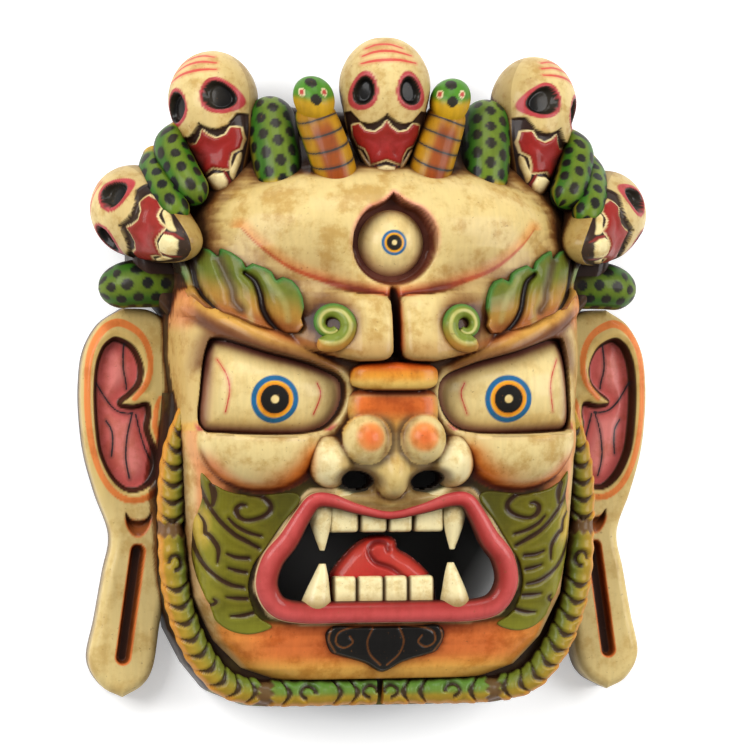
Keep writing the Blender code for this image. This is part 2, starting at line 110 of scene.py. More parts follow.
def bend(points: list, step: float = 2.0, closed: bool = False) -> np.ndarray:
    """A smooth line through a few points, each with any number of columns: a Catmull-Rom cubic in every span.

    Args:
        points: The points that it passes through.
        step: Wanted spacing in mm.
        closed: Whether it returns to its start.

    Returns:
        The finer points.
    """
    p = np.asarray(points, float)
    if closed:
        before, start, end, after = np.roll(p, 1, 0), p, np.roll(p, -1, 0), np.roll(p, -2, 0)
    else:
        q = np.vstack([2 * p[0] - p[1], p, 2 * p[-1] - p[-2]])
        before, start, end, after = q[:-3], q[1:-2], q[2:-1], q[3:]
    count = max(2, int(math.ceil(np.linalg.norm(end - start, axis=1).mean() / step)))
    t = (np.arange(count) / count)[None, :, None]
    a, b, c, d = (v[:, None, :] for v in (before, start, end, after))
    line = 0.5 * (2 * b + (c - a) * t + (2 * a - 5 * b + 4 * c - d) * t ** 2 + (3 * b - a - 3 * c + d) * t ** 3)
    line = line.reshape(-1, p.shape[1])
    return np.vstack([line, line[:1] if closed else p[-1:]])


def spread(line: np.ndarray, step: float) -> np.ndarray:
    """Points evenly spaced along a line, by its length in all of its first three columns.

    Args:
        line: Points of the line.
        step: Spacing in mm.

    Returns:
        The evenly spaced points, ends kept.
    """
    run = np.r_[0, np.cumsum(np.linalg.norm(np.diff(line[:, :3], axis=0), axis=1))]
    places = np.linspace(0, run[-1], max(2, int(round(run[-1] / step)) + 1))
    return np.stack([np.interp(places, run, line[:, k]) for k in range(line.shape[1])], -1)


def trace(x: np.ndarray, y: np.ndarray, path: np.ndarray, reach: float = 8.0) -> tuple[np.ndarray, np.ndarray]:
    """How far each point is from a path of straight runs, and the path's own columns at the nearest place.

    Args:
        x: Points across.
        y: Points up.
        path: Points of the path, with any further columns.
        reach: Points further from the path than this in X or Y are left at FAR.

    Returns:
        Distances, and the path's columns at the nearest place.
    """
    flat_x, flat_y = np.ravel(x), np.ravel(y)
    away = np.full(flat_x.shape, FAR)
    found = np.zeros(flat_x.shape + (path.shape[1],))
    near = np.flatnonzero((flat_x > path[:, 0].min() - reach) & (flat_x < path[:, 0].max() + reach)
                          & (flat_y > path[:, 1].min() - reach) & (flat_y < path[:, 1].max() + reach))
    start, run = path[:-1], np.diff(path, axis=0)
    square = np.maximum((run[:, :2] ** 2).sum(1), 1e-9)
    for some in np.array_split(near, len(near) * len(run) // 1500000 + 1):
        dx, dy = flat_x[some, None] - start[:, 0], flat_y[some, None] - start[:, 1]
        share = np.clip((dx * run[:, 0] + dy * run[:, 1]) / square, 0, 1)
        gap = np.hypot(dx - share * run[:, 0], dy - share * run[:, 1])
        best = gap.argmin(1)
        rows = np.arange(len(some))
        away[some] = gap[rows, best]
        found[some] = start[best] + share[rows, best][:, None] * run[best]
    return away.reshape(np.shape(x)), found.reshape(np.shape(x) + (path.shape[1],))


def within(x: np.ndarray, y: np.ndarray, outline: np.ndarray) -> np.ndarray:
    """Whether each point lies inside a closed outline, by counting the runs that a line to the right crosses.

    Args:
        x: Points across.
        y: Points up.
        outline: Points of the outline.

    Returns:
        True inside.
    """
    flat_x, flat_y = np.ravel(x), np.ravel(y)
    inside = np.zeros(flat_x.shape, bool)
    near = np.flatnonzero((flat_x > outline[:, 0].min()) & (flat_x < outline[:, 0].max())
                          & (flat_y > outline[:, 1].min()) & (flat_y < outline[:, 1].max()))
    a, b = outline, np.roll(outline, -1, 0)
    for some in np.array_split(near, len(near) * len(a) // 3000000 + 1):
        py = flat_y[some, None]
        spans = (a[:, 1] > py) != (b[:, 1] > py)
        rise = np.where(a[:, 1] == b[:, 1], 1.0, b[:, 1] - a[:, 1])
        cross = a[:, 0] + (py - a[:, 1]) * (b[:, 0] - a[:, 0]) / rise
        inside[some] = (spans & (flat_x[some, None] < cross)).sum(1) % 2 == 1
    return inside.reshape(np.shape(x))


def rim(x: np.ndarray, y: np.ndarray, outline: np.ndarray, reach: float = 14.0) -> np.ndarray:
    """Distance to a closed outline, below nought inside it and above nought outside.

    Args:
        x: Points across.
        y: Points up.
        outline: Points of the outline, first and last joined.
        reach: Beyond this the distance is left at FAR.

    Returns:
        Signed distances in mm.
    """
    away, _ = trace(x, y, np.vstack([outline, outline[:1]]), reach)
    return np.where(within(x, y, outline), -away, away)


def dome(x: np.ndarray, y: np.ndarray, centre: tuple, radii: tuple) -> np.ndarray:
    """Height of an ellipsoid's upper half, which drops steeply outside its rim.

    Args:
        x: Points across.
        y: Points up.
        centre: Its centre (x, y, z).
        radii: Its three radii.

    Returns:
        Heights in mm.
    """
    q = ((x - centre[0]) / radii[0]) ** 2 + ((y - centre[1]) / radii[1]) ** 2
    return centre[2] + radii[2] * np.sqrt(np.maximum(1 - q, 0)) - OUTSIDE_DOME * np.maximum(q - 1, 0)


def pad(u: np.ndarray, v: np.ndarray, top: np.ndarray, drop: float, power: float) -> np.ndarray:
    """A block with rounded edges seen from above: flat in the middle, and down by drop at |u|^p + |v|^p = 1.

    Args:
        u: Offset across, 1 at the edge.
        v: Offset up, 1 at the edge.
        top: Height of the middle.
        drop: How far the edge lies below it.
        power: Higher is squarer.

    Returns:
        Heights in mm.
    """
    q = np.abs(u) ** power + np.abs(v) ** power
    return top - drop * (1 - np.sqrt(np.maximum(1 - q, 0))) - OUTSIDE_DOME * np.maximum(np.minimum(q, 3) - 1, 0)


def roll(x: np.ndarray, y: np.ndarray, line: np.ndarray) -> np.ndarray:
    """Height of a round bar that lies along a line: its centre height and the rest of its circle.

    Args:
        x: Points across.
        y: Points up.
        line: Points (x, y, centre height, radius).

    Returns:
        Heights in mm, dropping steeply outside the bar.
    """
    away, at = trace(x, y, line, line[:, 3].max() + 4)
    spare = at[..., 3] ** 2 - away ** 2
    height = at[..., 2] + np.sqrt(np.maximum(spare, 0)) - OUTSIDE_BAR * np.maximum(away - at[..., 3], 0)
    return np.where(away < FAR, height, -FAR)


def signed_power(value: np.ndarray, power: float) -> np.ndarray:
    """The value's size raised to a power, with its sign kept."""
    return np.sign(value) * np.abs(value) ** power


def both_sides(points: list) -> np.ndarray:
    """Closes a right-hand run of points with its mirror image, kept in order round the loop."""
    right = np.asarray(points, float)
    left = right[::-1] * np.array([-1, *[1] * (right.shape[1] - 1)])
    return np.vstack([right, left[left[:, 0] < 0]])


class Hue(Enum):
    """The painter's colours, as sRGB hex."""

    CREAM = "C8AD6C"
    PALE = "D8C184"
    IVORY = "C6AC70"
    OCHRE = "A87A30"
    PEACH = "D68A55"
    BROWN = "36200F"
    PURPLE = "45201A"
    PINK = "B8424A"
    RED = "B5332F"
    MOSS = "545414"
    LEAF = "3F7430"
    SAGE = "6E8A5E"
    BLUE = "1D5F8C"
    BLACK = "171513"
    SLATE = "26272A"
    WOOD = "4B3526"
    HOLLOW = "1E1712"


def light(hue: Hue | str) -> np.ndarray:
    """A painter's colour, or a hex code, in linear light."""
    return linear(hue.value if isinstance(hue, Hue) else hue)


def add(tree: bpy.types.NodeTree, kind: str, settings: dict | None = None,
        inputs: dict | None = None) -> bpy.types.Node:
    """Adds a node, sets its properties, and fills its sockets with values or links.

    Args:
        tree: The material's node tree.
        kind: The node's type.
        settings: Properties by name.
        inputs: Sockets by name or number, each with a value or another node's output.

    Returns:
        The new node.
    """
    node = tree.nodes.new(kind)
    for key, value in (settings or {}).items():
        setattr(node, key, value)
    for key, value in (inputs or {}).items():
        if isinstance(value, bpy.types.NodeSocket):
            tree.links.new(value, node.inputs[key])
        else:
            node.inputs[key].default_value = value
    return node


@dataclass(frozen=True)
class PaintedWood:
    """Hand-laid distemper on carved wood, worked over with a dark antiquing patina and sealed with thin varnish.

    The patina darkens each point by how deep it lies below what is round it: the real antiquing in the hollows,
    together with painted shade in creases, at the foot of steps and where pieces meet. The mottle and streaks show
    the brush and the age of the colour, and the varnish gives a broken half-gloss.
    """

    name: str
    roughness: float = 0.50
    varnish: float = 0.22
    mottle: float = 0.7
    blotch_mm: float = 14.0
    streak: float = 0.06
    streak_mm: float = 2.6
    patina_and_shade: float = 0.92
    patina_and_shade_from_mm: float = 0.35
    patina_and_shade_full_mm: float = 4.6
    rough_mm: float = 0.10
    tint: str = "A87C34"
    stain_and_shade: str = "24130B"

    def make(self) -> bpy.types.Material:
        """Builds the node tree: paint, mottle, streaks, specks, ink lines, the antiquing patina with painted shade in
        creases and round steps, high places lightened, varnish.

        Returns:
            The material.
        """
        material = bpy.data.materials.new(self.name)
        material.use_nodes = True
        tree = material.node_tree
        tree.nodes.clear()
        place = add(tree, "ShaderNodeTexCoord").outputs["Object"]
        paint = add(tree, "ShaderNodeAttribute", {"attribute_name": "paint"}).outputs["Color"]
        ink = add(tree, "ShaderNodeAttribute", {"attribute_name": "ink"}).outputs["Color"]
        line = add(tree, "ShaderNodeAttribute", {"attribute_name": "line"}).outputs["Fac"]
        depth = add(tree, "ShaderNodeAttribute", {"attribute_name": "depth"}).outputs["Fac"]
        blotch = add(tree, "ShaderNodeTexNoise", {}, {
            "Vector": place, "Scale": 1000 / self.blotch_mm, "Detail": 5.0, "Roughness": 0.62})
        fine = add(tree, "ShaderNodeTexNoise", {}, {"Vector": place, "Scale": 1000 / 2.4, "Detail": 4.0})
        drawn = add(tree, "ShaderNodeMapping", {}, {"Vector": place, "Scale": (1.0, 0.09, 0.5)})
        strokes = add(tree, "ShaderNodeTexNoise", {}, {
            "Vector": drawn.outputs[0], "Scale": 1000 / self.streak_mm, "Detail": 3.0})
        patch = add(tree, "ShaderNodeMapRange", {"interpolation_type": "SMOOTHSTEP"}, {
            "Value": blotch.outputs["Fac"], "From Min": 0.44, "From Max": 0.68, "To Max": self.mottle})
        colour = add(tree, "ShaderNodeMix", {"data_type": "RGBA", "blend_type": "MULTIPLY"}, {
            0: patch.outputs[0], 6: paint, 7: (*np.sqrt(linear(self.tint)), 1)})
        stroke = add(tree, "ShaderNodeMapRange", {}, {
            "Value": strokes.outputs["Fac"], "From Min": 0.3, "From Max": 0.7,
            "To Min": 1 - self.streak, "To Max": 1 + self.streak * 0.6})
        colour = add(tree, "ShaderNodeMix", {"data_type": "RGBA", "blend_type": "MULTIPLY"}, {
            0: 1.0, 6: colour.outputs[2], 7: stroke.outputs[0]})
        speck = add(tree, "ShaderNodeMapRange", {"interpolation_type": "SMOOTHSTEP"}, {
            "Value": fine.outputs["Fac"], "From Min": 0.66, "From Max": 0.74, "To Max": 0.4})
        colour = add(tree, "ShaderNodeMix", {"data_type": "RGBA"}, {
            0: speck.outputs[0], 6: colour.outputs[2], 7: (*linear("6B4520"), 1)})
        wobble = add(tree, "ShaderNodeMath", {"operation": "MULTIPLY_ADD"}, {0: fine.outputs["Fac"], 1: 0.5, 2: line})
        halo = add(tree, "ShaderNodeMapRange", {"interpolation_type": "SMOOTHSTEP"}, {
            "Value": wobble.outputs[0], "From Min": 0.25, "From Max": 2.2, "To Min": 0.38, "To Max": 0.0})
        colour = add(tree, "ShaderNodeMix", {"data_type": "RGBA"}, {
            0: halo.outputs[0], 6: colour.outputs[2], 7: ink})
        stripe = add(tree, "ShaderNodeMapRange", {"interpolation_type": "SMOOTHSTEP"}, {
            "Value": wobble.outputs[0], "From Min": 0.08, "From Max": 0.42, "To Min": 0.94, "To Max": 0.0})
        colour = add(tree, "ShaderNodeMix", {"data_type": "RGBA"}, {
            0: stripe.outputs[0], 6: colour.outputs[2], 7: ink})
        # the antiquing patina, darkest in deep creases, where it also paints in the shade that falls there
        crease = add(tree, "ShaderNodeMapRange", {"interpolation_type": "SMOOTHSTEP"}, {
            "Value": depth, "From Min": self.patina_and_shade_from_mm, "From Max": self.patina_and_shade_full_mm, "To Max": self.patina_and_shade})
        uneven = add(tree, "ShaderNodeMath", {"operation": "MULTIPLY_ADD", "use_clamp": True}, {
            0: blotch.outputs["Fac"], 1: 0.7, 2: 0.62})
        crease = add(tree, "ShaderNodeMath", {"operation": "MULTIPLY", "use_clamp": True}, {
            0: crease.outputs[0], 1: uneven.outputs[0]})
        # painted shade: a broad brown gradient round every step and hollow
        shade = add(tree, "ShaderNodeMapRange", {"interpolation_type": "SMOOTHSTEP"}, {
            "Value": depth, "From Min": self.patina_and_shade_from_mm - 1.6, "From Max": 0.55 * self.patina_and_shade_full_mm,
            "To Max": 0.95})
        shade = add(tree, "ShaderNodeMath", {"operation": "MULTIPLY", "use_clamp": True}, {
            0: shade.outputs[0], 1: uneven.outputs[0]})
        colour = add(tree, "ShaderNodeMix", {"data_type": "RGBA", "blend_type": "MULTIPLY"}, {
            0: shade.outputs[0], 6: colour.outputs[2], 7: (*linear("8E5C2C"), 1)})
        colour = add(tree, "ShaderNodeMix", {"data_type": "RGBA"}, {
            0: crease.outputs[0], 6: colour.outputs[2], 7: (*linear(self.stain_and_shade), 1)})
        proud = add(tree, "ShaderNodeMapRange", {}, {
            "Value": depth, "From Min": -0.6, "From Max": -4.0, "To Max": 0.03})
        colour = add(tree, "ShaderNodeMix", {"data_type": "RGBA", "blend_type": "SCREEN"}, {
            0: proud.outputs[0], 6: colour.outputs[2], 7: (*linear("C9B48A"), 1)})
        gloss = add(tree, "ShaderNodeMapRange", {}, {
            "Value": blotch.outputs["Fac"], "From Min": 0.3, "From Max": 0.7,
            "To Min": self.roughness - 0.09, "To Max": self.roughness + 0.14})
        grain = add(tree, "ShaderNodeMath", {"operation": "MULTIPLY_ADD"}, {
            0: strokes.outputs["Fac"], 1: 0.2, 2: fine.outputs["Fac"]})
        bump = add(tree, "ShaderNodeBump", {}, {
            "Height": grain.outputs[0], "Strength": 1.0, "Distance": self.rough_mm * MILLIMETRE})
        shader = add(tree, "ShaderNodeBsdfPrincipled", {}, {
            "Base Color": colour.outputs[2], "Roughness": gloss.outputs[0], "Normal": bump.outputs[0],
            "IOR": 1.5, "Specular IOR Level": 0.12, "Coat Weight": self.varnish, "Coat Roughness": 0.16})
        add(tree, "ShaderNodeOutputMaterial", {}, {"Surface": shader.outputs[0]})
        return material


@dataclass
class Finishes:
    """The finishes of the mask, each made once."""

    face: PaintedWood = PaintedWood("face_distemper_varnished")
    ear: PaintedWood = PaintedWood("ear_distemper_varnished", patina_and_shade_from_mm=9.0, patina_and_shade_full_mm=24.0, mottle=0.5)
    leaf: PaintedWood = PaintedWood("leaf_green_distemper", mottle=0.3, blotch_mm=9.0, tint="8A9A50", varnish=0.22)
    skin: PaintedWood = PaintedWood("serpent_green_enamel", roughness=0.46, varnish=0.14, mottle=0.35, streak=0.12,
                                    tint="9A8A30", patina_and_shade_full_mm=9.0)
    bone: PaintedWood = PaintedWood("skull_ivory_distemper", mottle=0.65, blotch_mm=10.0, patina_and_shade_full_mm=7.0)
    lip: PaintedWood = PaintedWood("lip_red_enamel", roughness=0.46, varnish=0.3, mottle=0.35, tint="A04038",
                                   patina_and_shade_full_mm=7.0)
    tooth: PaintedWood = PaintedWood("tooth_ivory_enamel", roughness=0.44, varnish=0.3, mottle=0.5, blotch_mm=7.0,
                                     patina_and_shade_from_mm=2.0, patina_and_shade_full_mm=12.0)
    eye: PaintedWood = PaintedWood("eye_enamel_gloss", roughness=0.42, varnish=0.25, mottle=0.35, streak=0.08,
                                   patina_and_shade_from_mm=5.0, patina_and_shade_full_mm=17.0, stain_and_shade="3A1A14")
    black: PaintedWood = PaintedWood("lamp_black_enamel", roughness=0.36, varnish=0.3, mottle=0.1, streak=0.1)
    made: dict = field(default_factory=dict)

    def get(self, finish: PaintedWood) -> bpy.types.Material:
        """The material of a finish, built when it is first asked for."""
        if finish.name not in self.made:
            self.made[finish.name] = finish.make()
        return self.made[finish.name]


@dataclass
class Carving:
    """One closed carved piece with what is painted on it."""

    name: str
    finish: PaintedWood
    points: np.ndarray
    quads: np.ndarray
    fans: np.ndarray
    front: np.ndarray
    paint: np.ndarray = field(init=False)
    ink: np.ndarray = field(init=False)
    line: np.ndarray = field(init=False)
    depth: np.ndarray = field(init=False)
    # at each point, the share of the antiquing patina and its painted shade that is taken off
    patina_and_shade_taken_off: np.ndarray = field(init=False)
    crease_angle: float = 75.0

    def __post_init__(self) -> None:
        """Starts with dark wood all over and no brushed line."""
        count = len(self.points)
        self.paint = np.tile(light(Hue.WOOD), (count, 1))
        self.ink = np.tile(light(Hue.BROWN), (count, 1))
        self.line = np.full(count, FAR)
        self.depth = np.zeros(count)
        self.patina_and_shade_taken_off = np.zeros(count)

    @property
    def x(self) -> np.ndarray:
        """Points across."""
        return self.points[:, 0]

    @property
    def y(self) -> np.ndarray:
        """Points up."""
        return self.points[:, 1]

    def tint(self, hue: Hue | str, weight: np.ndarray | float = 1.0) -> None:
        """Lays a colour over the front with a weight from 0 to 1.

        Args:
            hue: The colour.
            weight: How much of it, at each point.
        """
        share = (np.broadcast_to(weight, self.front.shape) * self.front)[:, None]
        self.paint = self.paint * (1 - share) + light(hue) * share

    def brush(self, away: np.ndarray, half_width: np.ndarray | float, hue: Hue | str) -> None:
        """Draws a line: its edge is where the distance equals half its width.

        Args:
            away: Distance of each point to the line's middle.
            half_width: Half the line's width, in mm.
            hue: Its colour.
        """
        edge = np.where(self.front, away - half_width, FAR)
        nearer = edge < self.line
        self.ink[nearer] = light(hue)
        self.line = np.minimum(self.line, edge)

    def make(self, materials: Finishes) -> bpy.types.Object:
        """Puts the piece into Blender, in metres, with its attributes and its material.

        Args:
            materials: The finishes.

        Returns:
            The object, riding on the mask's body.
        """
        mesh = bpy.data.meshes.new(self.name)
        corners = np.concatenate([self.quads.ravel(), self.fans.ravel()]).astype(np.int32)
        starts = np.concatenate([4 * np.arange(len(self.quads)), 4 * len(self.quads) + 3 * np.arange(len(self.fans))])
        mesh.vertices.add(len(self.points))
        mesh.vertices.foreach_set("co", (self.points * MILLIMETRE).astype(np.float32).ravel())
        mesh.loops.add(len(corners))
        mesh.loops.foreach_set("vertex_index", corners)
        mesh.polygons.add(len(starts))
        mesh.polygons.foreach_set("loop_start", starts.astype(np.int32))
        mesh.update(calc_edges=True)
        mesh.polygons.foreach_set("use_smooth", np.ones(len(starts), bool))
        mesh.set_sharp_from_angle(angle=math.radians(self.crease_angle))
        for name, value in (("paint", self.paint), ("ink", self.ink)):
            four = np.concatenate([np.clip(value, 0, 1), np.ones((len(value), 1))], 1).astype(np.float32)
            mesh.attributes.new(name, "FLOAT_COLOR", "POINT").data.foreach_set("color", four.ravel())
        for name, value in (("line", np.minimum(self.line, FAR)), ("depth", self.depth)):
            mesh.attributes.new(name, "FLOAT", "POINT").data.foreach_set("value", value.astype(np.float32))
        mesh.validate()
        mesh.materials.append(materials.get(self.finish))
        piece = bpy.data.objects.new(self.name, mesh)
        bpy.context.scene.collection.objects.link(piece)
        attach(piece, BODY)
        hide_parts(NODE)
        log.info("%s: %d faces", self.name, len(starts))
        return piece


def shell(name: str, finish: PaintedWood, top: np.ndarray, back: np.ndarray,
          keep: np.ndarray | None = None) -> Carving:
    """A closed piece between a front sheet and a back sheet on one grid, with walls round what is kept.

    Args:
        name: The piece's name.
        finish: Its finish.
        top: Front points, rows by columns by 3, rows going up and columns to the right.
        back: Back points on the same grid.
        keep: Which cells stay, or all of them.

    Returns:
        The piece.
    """
    rows, columns = top.shape[:2]
    keep = np.ones((rows - 1, columns - 1), bool) if keep is None else keep
    number = np.arange(rows * columns).reshape(rows, columns)
    under = rows * columns
    cell = np.stack([number[:-1, :-1], number[:-1, 1:], number[1:, 1:], number[1:, :-1]], -1)[keep]
    ring = np.pad(keep, 1)
    low, high = ring[:-1, 1:-1], ring[1:, 1:-1]
    left, right = ring[1:-1, :-1], ring[1:-1, 1:]
    along, next_along = number[:, :-1], number[:, 1:]
    up, next_up = number[:-1, :], number[1:, :]
    walls = []
    for edge, a, b in ((high & ~low, next_along, along), (low & ~high, along, next_along),
                       (right & ~left, up, next_up), (left & ~right, next_up, up)):
        walls.append(np.stack([a[edge], b[edge], b[edge] + under, a[edge] + under], -1))
    quads = np.concatenate([cell, cell[:, ::-1] + under, *walls])
    used, quads = np.unique(quads, return_inverse=True)
    points = np.concatenate([top.reshape(-1, 3), back.reshape(-1, 3)])[used]
    return Carving(name, finish, points, quads.reshape(-1, 4), np.zeros((0, 3), int), used < under)


def relief(name: str, finish: PaintedWood, place: tuple, under: np.ndarray | float, keep: np.ndarray | None = None,
           hand: int = 1) -> Carving:
    """A closed piece over a grid of X and Y, mirrored for the left-hand side.

    Args:
        name: The piece's name.
        finish: Its finish.
        place: X, Y and front height on the grid.
        under: Height of its underside.
        keep: Which cells stay, or all of them.
        hand: 1 for the right-hand side and -1 for its mirror image.

    Returns:
        The piece.
    """
    x, y, z = place
    top, back = (np.stack([x * hand, y, np.broadcast_to(h, x.shape)], -1)[:, ::hand] for h in (z, under))
    return shell(name, finish, top, back, None if keep is None else keep[:, ::hand])


def rings(name: str, finish: PaintedWood, loops: np.ndarray, closed: bool = False) -> Carving:
    """A closed skin over rings of points, with a middle point at each end, or joined end to end.

    Args:
        name: The piece's name.
        finish: Its finish.
        loops: Points, ring by ring, all rings turning the same way.
        closed: Whether the last ring joins the first.

    Returns:
        The piece, its faces turned outward by the sign of its volume.
    """
    count, around = loops.shape[:2]
    number = np.arange(count * around).reshape(count, around)
    if closed:
        number = np.vstack([number, number[:1]])
    turn = np.roll(number, -1, 1)
    quads = np.stack([number[:-1], turn[:-1], turn[1:], number[1:]], -1).reshape(-1, 4)
    points = loops.reshape(-1, 3)
    fans = np.zeros((0, 3), int)
    if not closed:
        last = len(points)
        points = np.vstack([points, loops[0].mean(0), loops[-1].mean(0)])
        fans = np.concatenate([np.stack([turn[0], number[0], np.full(around, last)], -1),
                               np.stack([number[-1], turn[-1], np.full(around, last + 1)], -1)])
    corner = [points[quads[:, k]] - points.mean(0) for k in range(4)]
    if (corner[0] * np.cross(corner[1], corner[2]) + corner[0] * np.cross(corner[2], corner[3])).sum() < 0:
        quads, fans = quads[:, ::-1], fans[:, ::-1]
    return Carving(name, finish, points, quads, fans, np.ones(len(points), bool))


def lattice(left: float, right: float, low: float, high: float, step: float) -> tuple[np.ndarray, np.ndarray]:
    """An even grid of X and Y over a rectangle, rows going up.

    Args:
        left: Lowest X.
        right: Highest X.
        low: Lowest Y.
        high: Highest Y.
        step: Spacing in mm.

    Returns:
        X and Y, each rows by columns.
    """
    across = np.linspace(left, right, int(round((right - left) / step)) + 1)
    upward = np.linspace(low, high, int(round((high - low) / step)) + 1)
    return np.meshgrid(across, upward)


def cells(mask: np.ndarray) -> np.ndarray:
    """Cells that have at least one corner in the mask."""
    return mask[:-1, :-1] | mask[:-1, 1:] | mask[1:, :-1] | mask[1:, 1:]


@dataclass
class Head:
    """The face block: a vault of superellipse rows with brows, lids, sockets and pouches worked into it."""

    rows: np.ndarray = field(default_factory=lambda: np.array([
        (-184, 70, 62, 6), (-177, 88, 67, 6), (-160, 103, 74, 6), (-134, 115, 80, 6), (-100, 119, 86, 6),
        (-60, 121, 93, 6), (-20, 123, 99, 5), (10, 127, 102, 4), (45, 128, 104, 3.2), (75, 127, 101, 3),
        (100, 122, 90, 3), (122, 108, 76, 3), (140, 84, 58, 3), (150, 62, 40, 3)], float))
    side_wall: float = 15.0
    front_wall: float = 17.0
    split: float = 33.0
    socket_depth: float = 11.0
    third_eye_floor: float = 92.0
    forehead: tuple = ((0, 86, 60), (104, 42, 50))
    pouch: tuple = ((76, -39, 82), (38, 32, 29))
    brow: np.ndarray = field(default_factory=lambda: bend([
        (16, 30, 92, 20), (40, 36, 89, 20), (70, 44, 80, 20), (96, 56, 66, 18), (115, 72, 52, 14)]))
    lid: np.ndarray = field(default_factory=lambda: bend([
        (115, 42, 70, 8.5), (97, 30, 86, 9.2), (74, 17, 95, 9.6), (50, 8, 97, 9), (29, -3, 95, 7.5)]))
    socket: np.ndarray = field(default_factory=lambda: bend([
        (29, -5), (46, 5), (75, 13), (102, 21), (109, 14), (112, -10), (112, -32), (98, -36), (50, -36), (32, -25)],
        closed=True)[:-1])
    third_socket: np.ndarray = field(default_factory=lambda: np.vstack([
        [(0, 106), (5, 101.5), (11, 98.5)],
        [(25 * math.sin(a), 77 + 25 * math.cos(a)) for a in np.radians(np.arange(36, 325, 6))],
        [(-11, 98.5), (-5, 101.5)]]))
    mouth: np.ndarray = field(default_factory=lambda: both_sides([
        (0, -84.5), (20, -80.5), (36, -75.5), (46, -76), (53, -85), (61, -99), (70, -111), (73, -126),
        (66, -138.5), (50, -142.5), (25, -142.5), (0, -142.5)]))
    nostril: tuple = (21.0, -63.5, 9.5, 5.6)

    def read(self, y: np.ndarray) -> tuple[np.ndarray, np.ndarray, np.ndarray]:
        """Half width, crest height and squareness of the vault at each Y."""
        return tuple(np.interp(y, self.rows[:, 0], self.rows[:, k]) for k in (1, 2, 3))

    def vault(self, x: np.ndarray, y: np.ndarray) -> np.ndarray:
        """Height of the plain vault: crest times (1 - share^p)^(1/p), share being |x| over the half width."""
        width, crest, power = self.read(y)
        share = np.minimum(np.abs(x) / width, 0.985)
        return crest * (1 - share ** power) ** (1 / power)

    def surface(self, x: np.ndarray, y: np.ndarray) -> np.ndarray:
        """Height of the carved face: the vault, swelled by forehead, brows, pouches and lids, cut by the sockets.

        Args:
            x: Points across.
            y: Points up.

        Returns:
            Heights in mm.
        """
        side = np.abs(x)
        vault = self.vault(x, y)
        z = swell(vault, dome(x, y, *self.forehead), 8)
        z = swell(z, roll(side, y, self.brow), 5)
        outer = np.maximum(side - 22, 0)
        z = swell(z, pad((side - 20.2) / np.where(side < 20.2, 17.5, 42), (y - 27 - 0.18 * outer) / 19.5,
                         120.6 - 0.249 * np.clip(y - 27, -25, 25) - 0.42 * np.minimum(outer, 50), 6, 5), 2)
        z = z - 7 * np.exp(-(np.maximum(side - 0.4, 0) / 1.9) ** 2) * ease(4, 10, y) * ease(60, 48, y)
        z = swell(z, dome(side, y, *self.pouch), 2)
        z = swell(z, roll(side, y, self.lid), 2)
        hole = rim(side, y, self.socket)
        z = z + (vault - self.socket_depth - z) * ease(0.9, -1.3, hole)
        hole = rim(x, y, self.third_socket)
        z = z + (np.minimum(z, self.third_eye_floor) - z) * ease(0.7, -1.6, hole)
        lip = rim(x, y, self.mouth)
        return z + 1.2 * np.exp(-((lip - 6.5) / 2.2) ** 2)

    def sheet(self, low: float, high: float, rows: int, half: int) -> tuple[np.ndarray, np.ndarray]:
        """Front and back sheets of the vault between two heights of Y.

        Each row runs along its superellipse by length, with four fifths of the columns on the face and the rest on
        the side walls. The back sheet is the same row drawn in by the wall's thickness.

        Args:
            low: Lowest Y.
            high: Highest Y.
            rows: How many rows.
            half: How many columns on each side of the middle.

        Returns:
            Front and back points, each rows by columns by 3.
        """
        y = np.linspace(low, high, rows)
        width, crest, power = (v[:, None] for v in self.read(y))
        angle = np.linspace(0, math.pi / 2, 500)[None, :]
        reach = ((np.sin(angle) / width) ** power + (np.cos(angle) / crest) ** power) ** (-1 / power)
        across, upward = reach * np.sin(angle), reach * np.cos(angle)
        run = np.concatenate([np.zeros((rows, 1)), np.cumsum(np.hypot(np.diff(across), np.diff(upward)), 1)], 1)
        part = np.linspace(0, 1, half + 1)
        x, z = np.empty((rows, half + 1)), np.empty((rows, half + 1))
        for k in range(rows):
            corner = np.interp(0.955 * width[k, 0], across[k], run[k])
            at = np.where(part < 0.8, part / 0.8 * corner, corner + (part - 0.8) / 0.2 * (run[k, -1] - corner))
            x[k], z[k] = np.interp(at, run[k], across[k]), np.interp(at, run[k], upward[k])
        z[:, -1] = 0
        draw = ease(0.55, 1.0, x / width)
        inner_x = x * (1 - draw * self.side_wall / width)
        share = np.minimum(inner_x / (width - self.side_wall), 1)
        roof = (crest - self.front_wall) * (1 - share ** power) ** (1 / power)
        taper = (ease(-176, -164, y) * ease(124, 108, y))[:, None]
        inner_z = np.minimum(z * (crest - self.front_wall) / crest, np.maximum(roof, 0)) * taper
        yy = np.repeat(y[:, None], half + 1, 1)
        front, back = np.stack([x, yy, z], -1), np.stack([inner_x, yy, inner_z], -1)
        mirror = np.array([-1, 1, 1])
        return tuple(np.concatenate([s[:, :0:-1] * mirror, s], 1) for s in (front, back))

    def nostrils(self, x: np.ndarray, y: np.ndarray) -> np.ndarray:
        """Below 1 inside either nostril's ellipse: squared offsets over its half widths, turned a little outward."""
        cx, cy, rx, ry = self.nostril
        u, v = np.abs(x) - cx, y - cy
        turn = math.radians(8)
        u, v = u * math.cos(turn) + v * math.sin(turn), -u * math.sin(turn) + v * math.cos(turn)
        return (u / rx) ** 2 + (v / ry) ** 2

